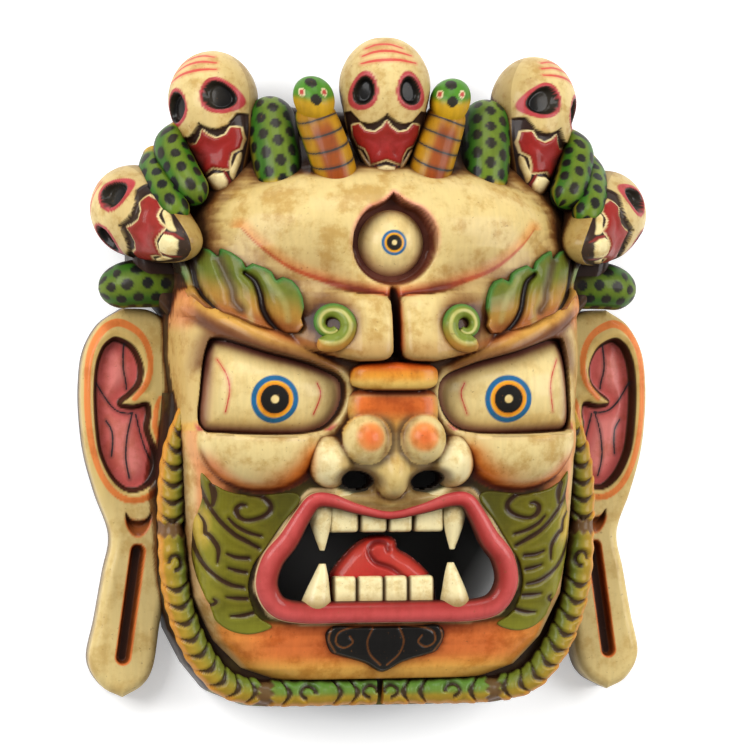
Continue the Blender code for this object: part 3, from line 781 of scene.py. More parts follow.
    def carve(self) -> list[Carving]:
        """The lower face and the forehead, each a closed wall between its front and the hollow behind it.

        Returns:
            The pieces.
        """
        pieces = []
        for name, low, high, rows in (("face_lower", -184, self.split, 187), ("forehead", self.split, 150, 102)):
            front, back = self.sheet(low, high, rows, 130)
            x, y, z = front[..., 0], front[..., 1], front[..., 2]
            facing = ease(0.30, 0.80, z / np.maximum(self.read(y)[1], 1))
            front[..., 2] = z + (self.surface(x, y) - self.vault(x, y)) * facing
            middle_x, middle_y = (x[1:, 1:] + x[:-1, :-1]) / 2, (y[1:, 1:] + y[:-1, :-1]) / 2
            keep = ~(within(middle_x, middle_y, self.mouth) | (self.nostrils(middle_x, middle_y) < 1))
            piece = shell(name, FINISHES.face, front, back, keep)
            self.dress(piece)
            pieces.append(piece)
        return pieces

    def dress(self, piece: Carving) -> None:
        """Airbrushed zones of the face: cream with orange, peach and purple where the carver shaded it, with painted
        highlight and painted shade on the lid ridges and round the brow curls.

        Args:
            piece: The piece to paint.
        """
        x, y, z = piece.points.T
        side = np.abs(x)
        width = self.read(y)[0]
        piece.tint(Hue.CREAM)
        piece.tint(Hue.PALE, 0.6 * ease(70, 95, z) * ease(150, 60, np.hypot(x, y - 40)))
        piece.tint("B8904A", 0.5 * ease(108, 122, side) * ease(-60, 0, y))
        piece.tint(Hue.HOLLOW, ease(6, 0, z) * 0.6)
        # cheeks and jaw
        low = ease(-52, -66, y)
        cheek = ease(86, 98, side) * ease(120, 112, side) * ease(-40, -62, y) * ease(-150, -128, y)
        piece.tint(Hue.PEACH, 0.85 * cheek)
        piece.tint(Hue.MOSS, low * ease(104, 92, side) * ease(-158, -148, y))
        chin = ease(-146, -153, y)
        piece.tint("E49440", chin * ease(112, 98, side))
        piece.tint("DC6838", 0.7 * chin * ease(-182, -164, y) * ease(104, 60, side))
        piece.tint("D9A64C", 0.85 * ease(-168, -180, y))
        edge = width - side
        piece.tint("DCC28A", 0.8 * ease(9, 4, edge) * ease(-20, -70, y))
        piece.tint("B07A40", 0.4 * ease(58, 40, z) * ease(-20, -60, y))
        # brow underside, lid and socket: the lid ridge with a painted highlight along its crest, and painted shade in
        # the crease under the brow and along its lower edge into the socket
        away, at = trace(side, y, self.lid, 20)
        above = (side - at[:, 0]) * 0.28 + (y - at[:, 1])
        piece.tint("B47434", 0.9 * ease(13, 7, away) * ease(30, 38, side))
        piece.tint("D09E44", 0.8 * ease(4.5, 1.0, np.abs(above - 1.0)) * ease(34, 44, side))
        piece.tint("A04A22", 0.8 * ease(12, 7, away) * ease(3, 8, above) * ease(36, 50, side))
        piece.tint("5A2A18", 0.9 * ease(14, 8, away) * ease(0.5, -4.5, above) * ease(26, 40, side))
        hole = rim(side, y, self.socket)
        piece.tint("6A3A1E", 0.85 * ease(11, 1.5, hole) * ease(-4, 6, y))
        piece.tint(Hue.PURPLE, ease(1.2, -0.6, hole))
        rind = ease(0.2, 0.9, hole) * ease(3.4, 2.0, hole)
        piece.tint(Hue.PINK, 0.9 * rind * ease(-28, -33, y) * ease(24, 32, side))
        piece.tint(Hue.PEACH, 0.75 * ease(112, 120, side) * ease(22, 32, y) * ease(60, 44, y))
        # pouch
        q = ((side - 76) / 38) ** 2 + ((y + 39) / 32) ** 2
        pouch = (y < -34) * ease(1.04, 0.98, q)
        piece.tint(Hue.PALE, pouch * 0.9)
        corner = ease(0.12, 0.62, q) * ease(98, 60, side - 0.5 * (y + 50)) * ease(-36, -48, y)
        piece.tint("C86C12", pouch * 0.95 * corner)
        piece.tint("C4601A", pouch * 0.85 * ease(0.5, 0.88, q) * ease(-42, -55, y))
        piece.tint("6E2E10", pouch * 0.85 * ease(0.84, 1.0, q) * ease(-40, -50, y))
        piece.tint(Hue.PEACH, 0.7 * (y < -34) * ease(0.98, 1.06, q) * ease(1.5, 1.2, q) * ease(88, 100, side))
        # painted shade round the foot of each brow curl
        piece.tint("8A5A28", 0.8 * ease(24, 13, np.hypot(side - 41, y - 30)) * ease(54, 44, y))
        piece.tint("9A6A2C", 0.7 * ease(27, 11, y) * ease(2, 6, y) * ease(42, 22, side))
        # third eye and the painted smile under it
        hole = rim(x, y, self.third_socket)
        piece.tint("D98C74", 0.9 * ease(3.6, 1.2, hole) * ease(60, 100, y))
        piece.tint("74402F", ease(1.4, -0.4, hole))
        # less antiquing patina and painted shade in the third eye's socket and along the lower side edges
        piece.patina_and_shade_taken_off = np.maximum(0.82 * ease(3, 0, hole), 0.8 * ease(-20, -60, y) * ease(20, 11, edge))
        smile = bend([(-89, 86, .3), (-82, 78, .8), (-73, 70, 1.3), (-64, 63.5, 1.7), (-55, 59, 2), (-43, 54.8, 2.4),
                      (-30, 50.6, 2.7), (-14, 47.8, 2.6), (0, 46.6, 2.4), (14, 47.8, 2.6), (30, 50.6, 2.7),
                      (43, 54.8, 2.4), (55, 59, 2), (64, 63.5, 1.7), (73, 70, 1.3), (82, 78, .8), (89, 86, .3)])
        away, at = trace(x, y, smile, 20)
        side_of = y - at[:, 1]
        piece.tint("DB8A3C", 0.6 * ease(8, 1, away) * (side_of > 0))
        piece.tint("B9501F", 0.95 * ease(0.62 * at[:, 2] + 0.7, 0.62 * at[:, 2] - 0.5, away))
        piece.tint("B85A44", 0.4 * ease(6, 2, away) * (side_of > 0) * ease(70, 40, side))
        # the slit between the brows
        piece.tint("B4501F", 0.9 * ease(3.6, 2.6, side) * ease(6, 12, y) * ease(52, 46, y))
        piece.tint(Hue.BROWN, ease(2.6, 1.7, side) * ease(4, 10, y) * ease(50, 44, y))
        # lip moulding and the shade round it
        lip = rim(x, y, self.mouth)
        piece.tint("33200F", 0.85 * ease(13, 7.5, lip) * ease(46, 52, side) * ease(-76, -84, y) * ease(-150, -138, y))
        piece.tint("E8D9A4", ease(8.6, 7.2, lip) * ease(2, 4, lip))
        piece.tint(Hue.BLACK, ease(3, 1, lip))
        piece.tint(Hue.HOLLOW, 1 - ease(1.2, 3.0, self.nostrils(x, y)))


@dataclass
class Nose:
    """The snub nose: a bar across the root, a broad body, two round balls, wings and a tip."""

    step: float = 0.75
    forms: tuple = (((0, -42, 80), (38, 32, 29)), ((17.5, -39, 100), (14, 15, 17)),
                    ((36.5, -52, 89), (14.5, 16.5, 19)), ((0, -60, 97), (10, 14.5, 16)), ((0, -78, 80), (46, 15, 16)))

    def surface(self, x: np.ndarray, y: np.ndarray) -> np.ndarray:
        """Height of the nose: ellipsoids, with the bar and the root as rounded blocks, joined by small fillets."""
        side = np.abs(x)
        body, ball, wing, tip, skin = (dome(side, y, *form) for form in self.forms)
        z = swell(body, pad(side / 27, (y + 22) / 14, 108.5, 8, 4), 4)
        z = swell(z, pad(side / 25.5, (y + 2) / 8.6, 114.5, 7, 3.2), 1.2)
        z = swell(z, skin, 5)
        z = swell(z, wing, 8)
        z = swell(z, ball, 3.2)
        return swell(z, tip, 8)

    def carve(self, head: Head) -> list[Carving]:
        """The nose as one closed block let into the face, with both nostrils through it.

        Args:
            head: The face it sits on.

        Returns:
            The pieces.
        """
        x, y = lattice(-54, 54, -97, 10, self.step)
        z = self.surface(x, y)
        ground = head.vault(x, y)
        lip = rim(x, y, head.mouth)
        z = z + (np.minimum(z, ground + 1.2) - z) * ease(6.5, 1.0, lip)
        wanted = (z > ground - 5) & (lip > 0.2)
        bore = head.nostrils(x, y)
        z = z - 2.2 * ease(2.1, 1.0, bore)
        z = np.maximum(z, ground - 7)
        middle = head.nostrils((x[1:, 1:] + x[:-1, :-1]) / 2, (y[1:, 1:] + y[:-1, :-1]) / 2)
        piece = relief("nose", FINISHES.face, (x, y, z), np.minimum(ground - 12, z - 3), cells(wanted) & (middle > 1))
        self.dress(piece, head)
        return [piece]

    def dress(self, piece: Carving, head: Head) -> None:
        """Orange bar fading down to yellow, orange under it, cream balls with orange discs, dark nostrils, and
        painted shade under the tip.

        Args:
            piece: The piece to paint.
            head: The face it sits on.
        """
        x, y, _ = piece.points.T
        side = np.abs(x)
        piece.tint(Hue.CREAM)
        piece.tint("D9A84A", 0.8 * ease(-14, -24, y) * ease(-40, -30, y))
        bar = ease(-11.5, -10, y)
        piece.tint("D2AC58", bar)
        piece.tint("D68A22", 0.9 * bar * ease(-7, -1, y))
        piece.tint("C84C12", 0.9 * bar * ease(-2, 5, y))
        piece.tint("7A3A18", ease(-8.6, -10.4, y) * ease(-15, -12, y))
        piece.tint("CE6220", 0.95 * ease(-12, -15, y) * ease(-33, -21, y) * ease(29, 20, side))
        cx, cy, rx, ry = 17, -39, 14.8, 15.5
        q = np.sqrt(((side - cx) / rx) ** 2 + ((y - cy) / ry) ** 2)
        piece.tint(Hue.PALE, ease(1.0, 0.85, q))
        piece.tint("D8701E", 0.8 * ease(10.5, 6.5, np.hypot(side - cx + 1, y - cy - 1.5)))
        piece.tint("CC4A14", 0.6 * ease(7.5, 2, np.hypot(side - cx + 1, y - cy - 1.5)))
        piece.tint("5B4A38", 0.8 * ease(1.35, 1.02, q) * (q > 0.98) * ease(-20, -30, y))
        wing = np.sqrt(((side - 38) / 12.5) ** 2 + ((y + 52) / 17) ** 2)
        piece.tint("EADBA8", 0.8 * ease(1.0, 0.7, wing))
        piece.tint("CF7420", 0.6 * ease(44, 50, side) * ease(1.15, 1.0, wing))
        bore = head.nostrils(x, y)
        piece.tint("4A2C18", 0.85 * ease(3.4, 1.1, bore))
        piece.tint(Hue.BLACK, ease(1.25, 1.02, bore))
        # painted shade under the nose, above the upper lip
        piece.tint("6E4B22", 0.6 * ease(-68, -74, y) * ease(-82, -76, y) * ease(36, 20, side))


@dataclass
class Eyes:
    """The two bulging eyes and the round one on the forehead."""

    step: float = 0.6
    ball: tuple = ((72, -11, 50), (66, 43, 49))
    iris: tuple = (70.5, -15.4)
    third: tuple = ((0, 77, 84), (21.5, 21.5, 20))

    def carve(self, head: Head) -> list[Carving]:
        """Each eyeball as a dome let into its socket, rounded off in its last 17 mm as a quarter circle.

        Args:
            head: The face it sits on.

        Returns:
            The pieces.
        """
        pieces = []
        for name, hand in SIDES:
            x, y = lattice(24, 116, -42, 27, self.step)
            hole = rim(x, y, head.socket)
            low = self.bed(head, x, y) + 1.8
            steep = np.sqrt(1 - (1 - np.clip((-hole - 0.4) / 17, 0, 1)) ** 2)
            z = low + (np.maximum(dome(x, y, *self.ball), low) - low) * steep
            under = self.bed(head, x, y) - 1.5
            piece = relief(f"eyeball_{name}", FINISHES.eye, (x, y, z), under, cells(hole < 1.6), hand)
            hole = rim(np.abs(piece.x), piece.y, head.socket)
            self.dress(piece, hand, hole)
            pieces.append(piece)
        x, y = lattice(-24, 24, 53, 101, self.step)
        q = np.hypot(x, y - 77)
        z = np.maximum(dome(x, y, *self.third), 90)
        piece = relief("third_eyeball", FINISHES.eye, (x, y, z), self.bed(head, x, y) - 1.5, cells(q < 21.6))
        q = np.hypot(piece.x, piece.y - 77)
        piece.tint(Hue.PALE)
        piece.tint("8E4A3C", 0.85 * ease(12, 22, q) * ease(4, -10, piece.y - 77))
        piece.tint("D98048", 0.7 * ease(16, 21.5, q) * ease(6, 16, piece.y - 77))
        for radius, hue in ((7.6, Hue.BLUE), (5.9, "DE9A1E"), (4.7, Hue.BLACK), (1.5, Hue.PALE)):
            piece.tint(hue, ease(radius + 0.35, radius - 0.35, q))
        pieces.append(piece)
        return pieces

    def bed(self, head: Head, x: np.ndarray, y: np.ndarray) -> np.ndarray:
        """Height in the wood that an eyeball is let in to: under the sockets' floors and over the hollow."""
        return np.where(y > 50, 90.0, head.vault(x, y) - 12.5)

    def dress(self, piece: Carving, hand: int, hole: np.ndarray) -> None:
        """Cream with painted purple shade toward the socket's edge, deepest under the upper lid, rings of blue,
        yellow and black, and thin red veins.

        Args:
            piece: The piece to paint.
            hand: 1 for the right-hand side and -1 for the left-hand side.
            hole: Distance outside the socket's edge at each point, in mm.
        """
        x, y = piece.x * hand, piece.y
        piece.tint(Hue.PALE)
        # painted shade toward the socket's edge, deepest under the upper lid
        piece.tint("B08A4A", 0.5 * ease(-12, -4, hole))
        piece.tint("7A4238", 0.9 * ease(-8, -1.5, hole))
        piece.tint("4E2420", 0.85 * ease(-6, -2, hole) * ease(-14, 6, y))
        piece.tint("3A1A14", 0.8 * ease(-2.2, -0.4, hole))
        q = np.hypot(x - self.iris[0], y - self.iris[1])
        for radius, hue in ((14.2, Hue.BLUE), (11.0, "DDA22A"), (8.6, Hue.BLACK), (2.4, Hue.PALE)):
            piece.tint(hue, ease(radius + 0.35, radius - 0.35, q))
        piece.tint("D8701E", 0.6 * ease(8.4, 8.8, q) * ease(10.6, 9, q))
        for line in ([(103, 8, 0), (98.5, -1, 0), (97, -10, 0), (99, -23, 0)],
                     [(44.5, -6, 0), (42.5, -13, 0), (46.5, -24.5, 0)]):
            away, _ = trace(x, y, bend(line, 1.0), 3)
            piece.brush(away, 0.35, Hue.RED)


@dataclass
class LeafBrow:
    """A carved acanthus leaf along each brow, with a curl at its root."""

    step: float = 0.6
    rise: float = 5.0
    outline: np.ndarray = field(default_factory=lambda: np.array([
        (129.5, 86.5), (125.4, 84.7), (124.3, 81), (123.6, 78.5), (122.3, 82.5), (116.9, 80.2), (113.9, 77.1),
        (113.4, 74), (110.1, 75.4), (106, 73.6), (102, 70.1), (101.1, 74), (99.3, 74), (93.9, 71.4), (88.4, 67),
        (86.6, 63), (83, 65.2), (75.8, 62.5), (71.8, 59.9), (69.8, 55.4), (65.9, 57.2), (60.5, 55), (56.9, 50.6),
        (54.6, 44.4), (54, 38.2), (55.5, 32), (54.2, 27.5), (57.8, 22.7), (65, 22.7), (83, 27.5), (92.1, 32),
        (102.9, 36), (110.1, 38.2), (117.5, 46.1), (121.5, 59.4), (124, 65.6), (127.5, 78)]))
    grooves: tuple = (
        ((122, 74.2, 0.5), (117.4, 67.5, 1.0), (115.1, 59.5, 1.2), (113.8, 53.3, 1.2), (110.6, 45.3, 1.1),
         (102.5, 36, 0.6)),
        ((87.5, 58.8, 0.4), (82.1, 53.9, 1.2), (79.4, 46, 1.5), (77.6, 37.2, 1.5), (73.1, 29.2, 1.2),
         (65.9, 22.6, 0.6)))
    valley: tuple = ((101.4, 67.3), (97.8, 56.7), (95, 49.6), (94.1, 42.6), (90.5, 37.2))
    streaks: tuple = (((97, 56), (91, 46), (87, 38), (85, 31)), ((120, 62), (112, 50), (106, 41)),
                      ((76, 56), (70, 48), (66, 40), (64, 31)))
    curl_centre: tuple = (39.8, 28.6)

    def carve(self, head: Head) -> list[Carving]:
        """The leaf and the curl of each brow.

        Args:
            head: The face it sits on.

        Returns:
            The pieces.
        """
        pieces = []
        for name, hand in SIDES:
            x, y = lattice(50, 131, 19, 90, self.step)
            ground = head.surface(x, y)
            edge = rim(x, y, self.outline)
            swellings = np.ones_like(x)
            for groove in self.grooves:
                away, at = trace(x, y, bend(groove, 1.0), 9)
                swellings = swellings - 0.9 * np.exp(-(away / (at[..., 2] + 0.9)) ** 2) - 0.18 * ease(7, 1, away)
            away, _ = trace(x, y, bend(self.valley, 1.0), 9)
            swellings = swellings - 0.42 * ease(6, 0, away)
            lift = self.rise * np.maximum(swellings, 0.02)
            z = ground - 3 + (lift + 3) * ease(0.35, -1.5, edge)
            piece = relief(f"brow_leaf_{name}", FINISHES.leaf, (x, y, z), ground - 6, cells(edge < 1.0), hand)
            self.dress(piece, hand)
            pieces += [piece, self.curl(f"brow_curl_{name}", hand)]
        return pieces

    def dress(self, piece: Carving, hand: int) -> None:
        """Green at the cut edge, olive inside, amber at the foot, with pale streaks, painted shade down the valley
        and black-brown grooves.

        Args:
            piece: The piece to paint.
            hand: 1 for the right-hand side and -1 for the left-hand side.
        """
        x, y = piece.x * hand, piece.y
        edge = rim(x, y, self.outline)
        foot = (y - 22) - (x - 55) * 0.30
        piece.tint("5E661A")
        piece.tint("B07C34", 0.9 * ease(24, 6, foot))
        piece.tint("8A4420", 0.8 * ease(9, 1, foot))
        piece.tint("2F6A2A", 0.95 * ease(-4.5, -0.8, edge) * ease(10, 18, foot))
        piece.tint(Hue.SAGE, 0.8 * ease(113, 120, x) * ease(50, 62, y))
        for streak in self.streaks:
            away, _ = trace(x, y, bend(streak, 1.0), 7)
            piece.tint("A8A868", 0.3 * ease(3.2, 0.4, away))
        away, _ = trace(x, y, bend(self.valley, 1.0), 9)
        # painted shade down the valley of the leaf
        piece.tint("5A4630", 0.7 * ease(4.6, 0.5, away))
        for groove in self.grooves:
            away, at = trace(x, y, bend(groove, 1.0), 9)
            piece.brush(away, at[:, 2], "20140C")

    def curl(self, name: str, hand: int) -> Carving:
        """A hooked roll with a pale line along it, a turn and a quarter round a dark eye.

        Args:
            name: The piece's name.
            hand: 1 for the right-hand side and -1 for the left-hand side.

        Returns:
            The roll.
        """
        turn = np.linspace(0, 1, 90)
        angle = np.radians(310 - 450 * turn)
        reach = 11.6 - 7.6 * turn
        thick = 5.7 - 3.0 * turn
        across, upward = self.curl_centre[0] + reach * np.cos(angle), self.curl_centre[1] + reach * np.sin(angle)
        slope = 122.6 - 0.42 * np.maximum(across - 22, 0) - 0.25 * (upward - 27)
        centre = np.stack([across, upward, np.minimum(slope, 123.2 - thick), thick], -1)
        around = np.linspace(0, 2 * math.pi, 28, endpoint=False)
        out = np.stack([np.cos(angle), np.sin(angle), np.zeros_like(angle)], -1)[:, None]
        up = np.array([0, 0, 1.0])
        loops = centre[:, None, :3] + thick[:, None, None] * (
            out * np.cos(around)[None, :, None] + up * np.sin(around)[None, :, None])
        ends = np.sqrt(np.clip(np.minimum(turn, 1 - turn) / 0.03, 0.02, 1))[:, None, None]
        loops = centre[:, None, :3] + (loops - centre[:, None, :3]) * ends
        loops[..., 0] *= hand
        piece = rings(name, FINISHES.leaf, loops)
        outward = np.tile(np.cos(around), len(turn))
        along = np.repeat(turn, len(around))
        outward, along = np.r_[outward, 0, 0], np.r_[along, 0, 1]
        piece.tint("6F7C26")
        piece.tint("C2B86E", 0.8 * ease(0.35, 0.05, np.abs(outward - 0.1)))
        piece.tint(Hue.LEAF, 0.9 * ease(0.45, 0.85, outward) * ease(0.2, 0.35, along))
        piece.tint("B87A30", 0.9 * ease(-0.2, 0.7, outward) * ease(0.34, 0.12, along))
        return piece


@dataclass
class Cheek:
    """The green scrolled leaf carved on each cheek, beside the mouth."""

    step: float = 0.65
    outline: np.ndarray = field(default_factory=lambda: bend([
        (104.8, -64.8), (95.4, -69.6), (80.3, -71.6), (58.6, -70), (54, -76), (64.6, -90), (73.1, -103), (80.4, -114),
        (83, -126), (80.7, -137), (76, -145), (68.3, -150), (71.4, -153.5), (82.1, -156), (92.7, -154),
        (101, -148.1), (104, -141.3), (108.5, -132), (112.7, -121), (115.4, -108), (116, -96), (114.6, -86),
        (111.5, -76), (112.5, -66), (111.5, -58.5)], 2.0, closed=True)[:-1])
    lines: tuple = (
        ((114.5, -58.5, .7), (112.8, -65.6, 1), (110.2, -72.1, 1.1), (106.5, -79.6, 1.1), (100.2, -88.2, 1.2),
         (92.6, -95.2, 1.3), (86.1, -99, 1.3), (78, -103.5, .7)),
        ((84.7, -71.6, .5), (78.1, -72.5, 1), (73.2, -76, 1.3), (71.6, -79.8, 1.4), (74.1, -83.6, 1.3),
         (80, -86.2, 1.1), (86.4, -86.8, 1), (90.7, -84.3, 1.4), (91.7, -80.5, 1.6), (89.3, -78, 1.2),
         (86.6, -78, .6)),
        ((96, -86, .6), (91.7, -90.3, 1), (85.1, -94, 1), (77, -96.4, .6)),
        ((96.5, -107, .5), (91.2, -109, 1), (84, -109.6, 1)),
        ((95.3, -115.5, .5), (90, -117.1, 1), (85, -118, .9)),
        ((112.4, -83.1, .4), (109.3, -88.5, .9), (108.6, -94.5, 1.3), (107.1, -95.5, 1.3), (104, -99.3, 1.4),
         (101.3, -104.7, 1.3), (101.6, -112.4, .5)),
        ((116.2, -89.7, .5), (114.9, -99.5, 1), (111.9, -108.3, 1.1), (107.5, -115.4, 1.2), (101.3, -121.2, 1.2),
         (93.9, -125.4, 1.2), (86.5, -127, .8)),
        ((96, -133, .4), (90, -133.6, 1.1), (84, -133.8, 1)),
        ((93, -144.4, .4), (86, -144, 1.2), (79, -142, .9)),
        ((107.4, -136.4, .5), (104.2, -138, .9), (101.6, -136.1, 1), (103, -134.3, .6)),
        ((106, -66, 1.6), (104.6, -72, 1.8), (105, -78, 0.9)))

    def carve(self, head: Head) -> list[Carving]:
        """Each cheek leaf as a thin carved block let into the face, its lines cut as grooves.

        Args:
            head: The face it sits on.

        Returns:
            The pieces.
        """
        pieces = []
        for name, hand in SIDES:
            x, y = lattice(50, 120, -160, -56, self.step)
            ground = head.surface(x, y)
            edge = rim(x, y, self.outline)
            z = ground - 2 + 3.5 * ease(0.4, -1.2, edge)
            for line in self.lines:
                away, at = trace(x, y, bend(line, 1.0), 6)
                z = z - 1.1 * np.exp(-(away / (at[..., 2] + 0.5)) ** 2) + 0.3 * np.exp(-((away - 3.2) / 1.6) ** 2)
            z = np.where(edge < -1.2, np.maximum(z, ground + 0.2), z)
            piece = relief(f"cheek_leaf_{name}", FINISHES.leaf, (x, y, z), ground - 6, cells(edge < 0.8), hand)
            self.dress(piece, hand)
            pieces.append(piece)
        return pieces

    def dress(self, piece: Carving, hand: int) -> None:
        """Dark moss by the mouth and pouch, olive outside, a yellow leaf tip, and brown lines in the grooves."""
        x, y = piece.x * hand, piece.y
        piece.tint("6C6614")
        piece.tint(Hue.MOSS, 0.9 * ease(86, 62, x) * ease(-112, -84, y))
        piece.tint("8F8828", 0.7 * ease(96, 108, x) * ease(-80, -92, y))
        piece.tint("C8A644", 0.8 * ease(104, 110, x) * ease(-76, -86, y) * ease(-108, -96, y))
        piece.tint("C8A060", 0.7 * ease(112, 118, x + 0.1 * (y + 80)))
        piece.tint("86882A", 0.5 * ease(-136, -150, y))
        for line in self.lines:
            away, at = trace(x, y, bend(line, 1.0), 6)
            piece.brush(away, at[:, 2], "3A2210")


@dataclass
class Mouth:
    """Lips, teeth, fangs and the curled tongue."""

    lip_line: tuple = ((0, -84.5, 2.5), (20, -80.5, 3.3), (36, -75.5, 4.4), (46, -76, 5.0), (53, -85, 5.4),
                       (61, -99, 6.5), (70, -111, 7.0), (73, -126, 7.0), (66, -138.5, 6.8), (50, -142.5, 6.7),
                       (25, -142.5, 6.7), (0, -142.5, 6.7))
    upper: tuple = ((-26.5, 18), (-8.5, 16.4), (7.7, 14.6), (25, 18.4))
    lower: tuple = ((-25, 13.6), (-9.5, 15.6), (6, 14), (21.5, 15))
    tongue_outline: tuple = ((-33, -124), (-24, -110), (-14, -101), (-3, -97.5), (6, -100), (8.5, -106), (18, -112),
                             (29, -124), (27, -141), (-31, -141))

    def lips(self, head: Head) -> Carving:
        """A round roll along the lip line whose inner half reaches 14 mm down into the mouth.

        Args:
            head: The face it sits on.

        Returns:
            The piece.
        """
        line = spread(bend(both_sides(self.lip_line), 1.0, closed=True), 1.1)[:-1]
        ahead = np.roll(line[:, :2], -1, 0) - np.roll(line[:, :2], 1, 0)
        ahead /= np.linalg.norm(ahead, axis=1)[:, None]
        out = np.stack([ahead[:, 1], -ahead[:, 0]], -1)
        area = (line[:, 0] * np.roll(line[:, 1], -1) - np.roll(line[:, 0], -1) * line[:, 1]).sum()
        out *= math.copysign(1, area)
        height = head.vault(line[:, 0], line[:, 1]) + 1
        around = np.linspace(0, 2 * math.pi, 40, endpoint=False)
        c, s = np.cos(around), np.sin(around)
        deep = np.where(s < 0, np.where(c < 0, 14.0, 6.0), 0.0)
        wide = signed_power(c, 0.85)
        loops = np.empty((len(line), len(around), 3))
        loops[..., :2] = line[:, None, :2] + out[:, None] * (line[:, 2, None] * wide)[..., None]
        loops[..., 2] = height[:, None] + np.where(s > 0, line[:, 2, None] * s * 0.95, deep * s)
        piece = rings("lips", FINISHES.lip, loops, closed=True)
        outward = np.tile(c, len(line))
        upward = np.tile(s, len(line))
        piece.tint("B23A3A")
        # painted highlight along the top of the roll, and painted shade down its inner side into the mouth
        piece.tint("C45250", 0.5 * ease(0.3, 0.9, upward) * ease(-0.5, 0.3, outward))
        piece.tint("8E1C1A", 0.9 * ease(0.2, -0.55, outward))
        piece.tint("E4D2A0", ease(0.90, 0.97, outward) * 0.9)
        piece.tint("3A1210", 0.9 * ease(-0.6, -0.98, outward))
        return piece

    def tooth(self, name: str, centre: tuple, half: tuple, square: float = 0.24) -> Carving:
        """A rounded block: a superellipsoid whose sine and cosine are raised to a small power."""
        lift = np.linspace(-math.pi / 2, math.pi / 2, 25)[1:-1, None]
        turn = np.linspace(0, 2 * math.pi, 44, endpoint=False)[None, :]
        flat = signed_power(np.cos(lift), square)
        loops = np.stack([centre[0] + half[0] * flat * signed_power(np.cos(turn), square),
                          centre[1] + half[1] * flat * signed_power(np.sin(turn), square),
                          centre[2] + half[2] * signed_power(np.sin(lift), 0.6) + 0 * turn], -1)
        return rings(name, FINISHES.tooth, loops)

    def fang(self, name: str, line: list) -> Carving:
        """A tapering round tusk along a line of centres and radii, rounded at both ends."""
        path = spread(bend(line, 1.0), 0.8)
        around = np.linspace(0, 2 * math.pi, 36, endpoint=False)
        loops = np.stack([path[:, None, 0] + path[:, None, 3] * np.cos(around),
                          np.repeat(path[:, None, 1], len(around), 1),
                          path[:, None, 2] + path[:, None, 3] * np.sin(around)], -1)
        return rings(name, FINISHES.tooth, loops)

    def tongue(self) -> Carving:
        """A flat tongue, 9 mm thick and crowned, with a curl at its tip cut as a spiral groove.

        Returns:
            The piece.
        """
        outline = bend(self.tongue_outline, 1.5, closed=True)[:-1]
        x, y = lattice(-36, 32, -144, -94, 0.6)
        edge = rim(x, y, outline)
        z = 72.5 + 3.5 * ease(0, -7, edge) + 0.06 * (y + 120)
        z = np.where(edge > -3, z - 3 * (1 - np.sqrt(np.clip(1 - ((edge + 3) / 3) ** 2, 0, 1))), z)
        groove = bend([(20, -130, 1), (6, -118, 1.4), (-6, -113, 1.5), (-10, -106, 1.4), (-6, -101.5, 1.2),
                       (0, -102, 1.2), (2, -106, 1)], 1.0)
        away, _ = trace(x, y, groove, 6)
        z = z - 2.0 * np.exp(-(away / 1.6) ** 2)
        piece = relief("tongue", FINISHES.lip, (x, y, z), 64.0, cells(edge < 0.2))
        piece.tint("A42018")
        edge = rim(piece.x, piece.y, outline)
        # painted highlight: the middle of the tongue lighter
        piece.tint("C03E34", 0.5 * ease(-1, -6, edge))
        piece.tint("6E1C1A", 0.9 * ease(-1.6, 0, edge))
        away, _ = trace(piece.x, piece.y, groove, 6)
        piece.tint("7A1E1C", 0.85 * ease(2.6, 0.6, away))
        return piece

    def carve(self, head: Head) -> list[Carving]:
        """Everything in the mouth.

        Args:
            head: The face it sits on.

        Returns:
            The pieces.
        """
        pieces = [self.lips(head), self.tongue()]
        for k, (x, wide) in enumerate(self.upper):
            piece = self.tooth(f"upper_tooth_{k + 1}", (x, -85.5, 78), (wide / 2 + 0.1, 9.5, 7.5))
            self.stain_and_shade(piece, ease(-84, -76, piece.y), np.abs(piece.x - x) / (wide / 2))
            pieces.append(piece)
        for k, (x, wide) in enumerate(self.lower):
            piece = self.tooth(f"lower_tooth_{k + 1}", (x, -130, 73), (wide / 2 + 0.5, 8.8, 7))
            self.stain_and_shade(piece, ease(-130, -139, piece.y), np.abs(piece.x - x) / (wide / 2))
            pieces.append(piece)
        for name, hand in SIDES:
            upper = self.fang(f"upper_fang_{name}", [
                (41 * hand, -73, 82, 5.5), (41 * hand, -78, 82, 7.4), (40.5 * hand, -88, 82, 6.6),
                (40 * hand, -97, 82, 4.2), (39.5 * hand, -105.5, 82, 1.4)])
            self.stain_and_shade(upper, ease(-86, -78, upper.y), 0 * upper.x)
            lower = self.fang(f"lower_fang_{name}", [
                (42.5 * hand, -143, 76, 7), (42.4 * hand, -138, 76.5, 9), (41.5 * hand, -130, 78, 7.2),
                (40 * hand, -121, 79.5, 4.6), (39 * hand, -113.5, 80, 2.0)])
            self.stain_and_shade(lower, ease(-130, -139, lower.y), 0 * lower.x)
            pieces += [upper, lower]
        return pieces

    def stain_and_shade(self, piece: Carving, root: np.ndarray, side: np.ndarray) -> None:
        """Ivory, browned at the root and in the gaps: a stain that also paints in the shade where the lips and the
        next tooth close over it.
        """
        piece.tint("E6D6A2")
        # stain and painted shade at the root and in the gaps
        piece.tint("8A6428", 0.75 * root)
        piece.tint("4A2C12", 0.9 * ease(0.74, 1.0, side))


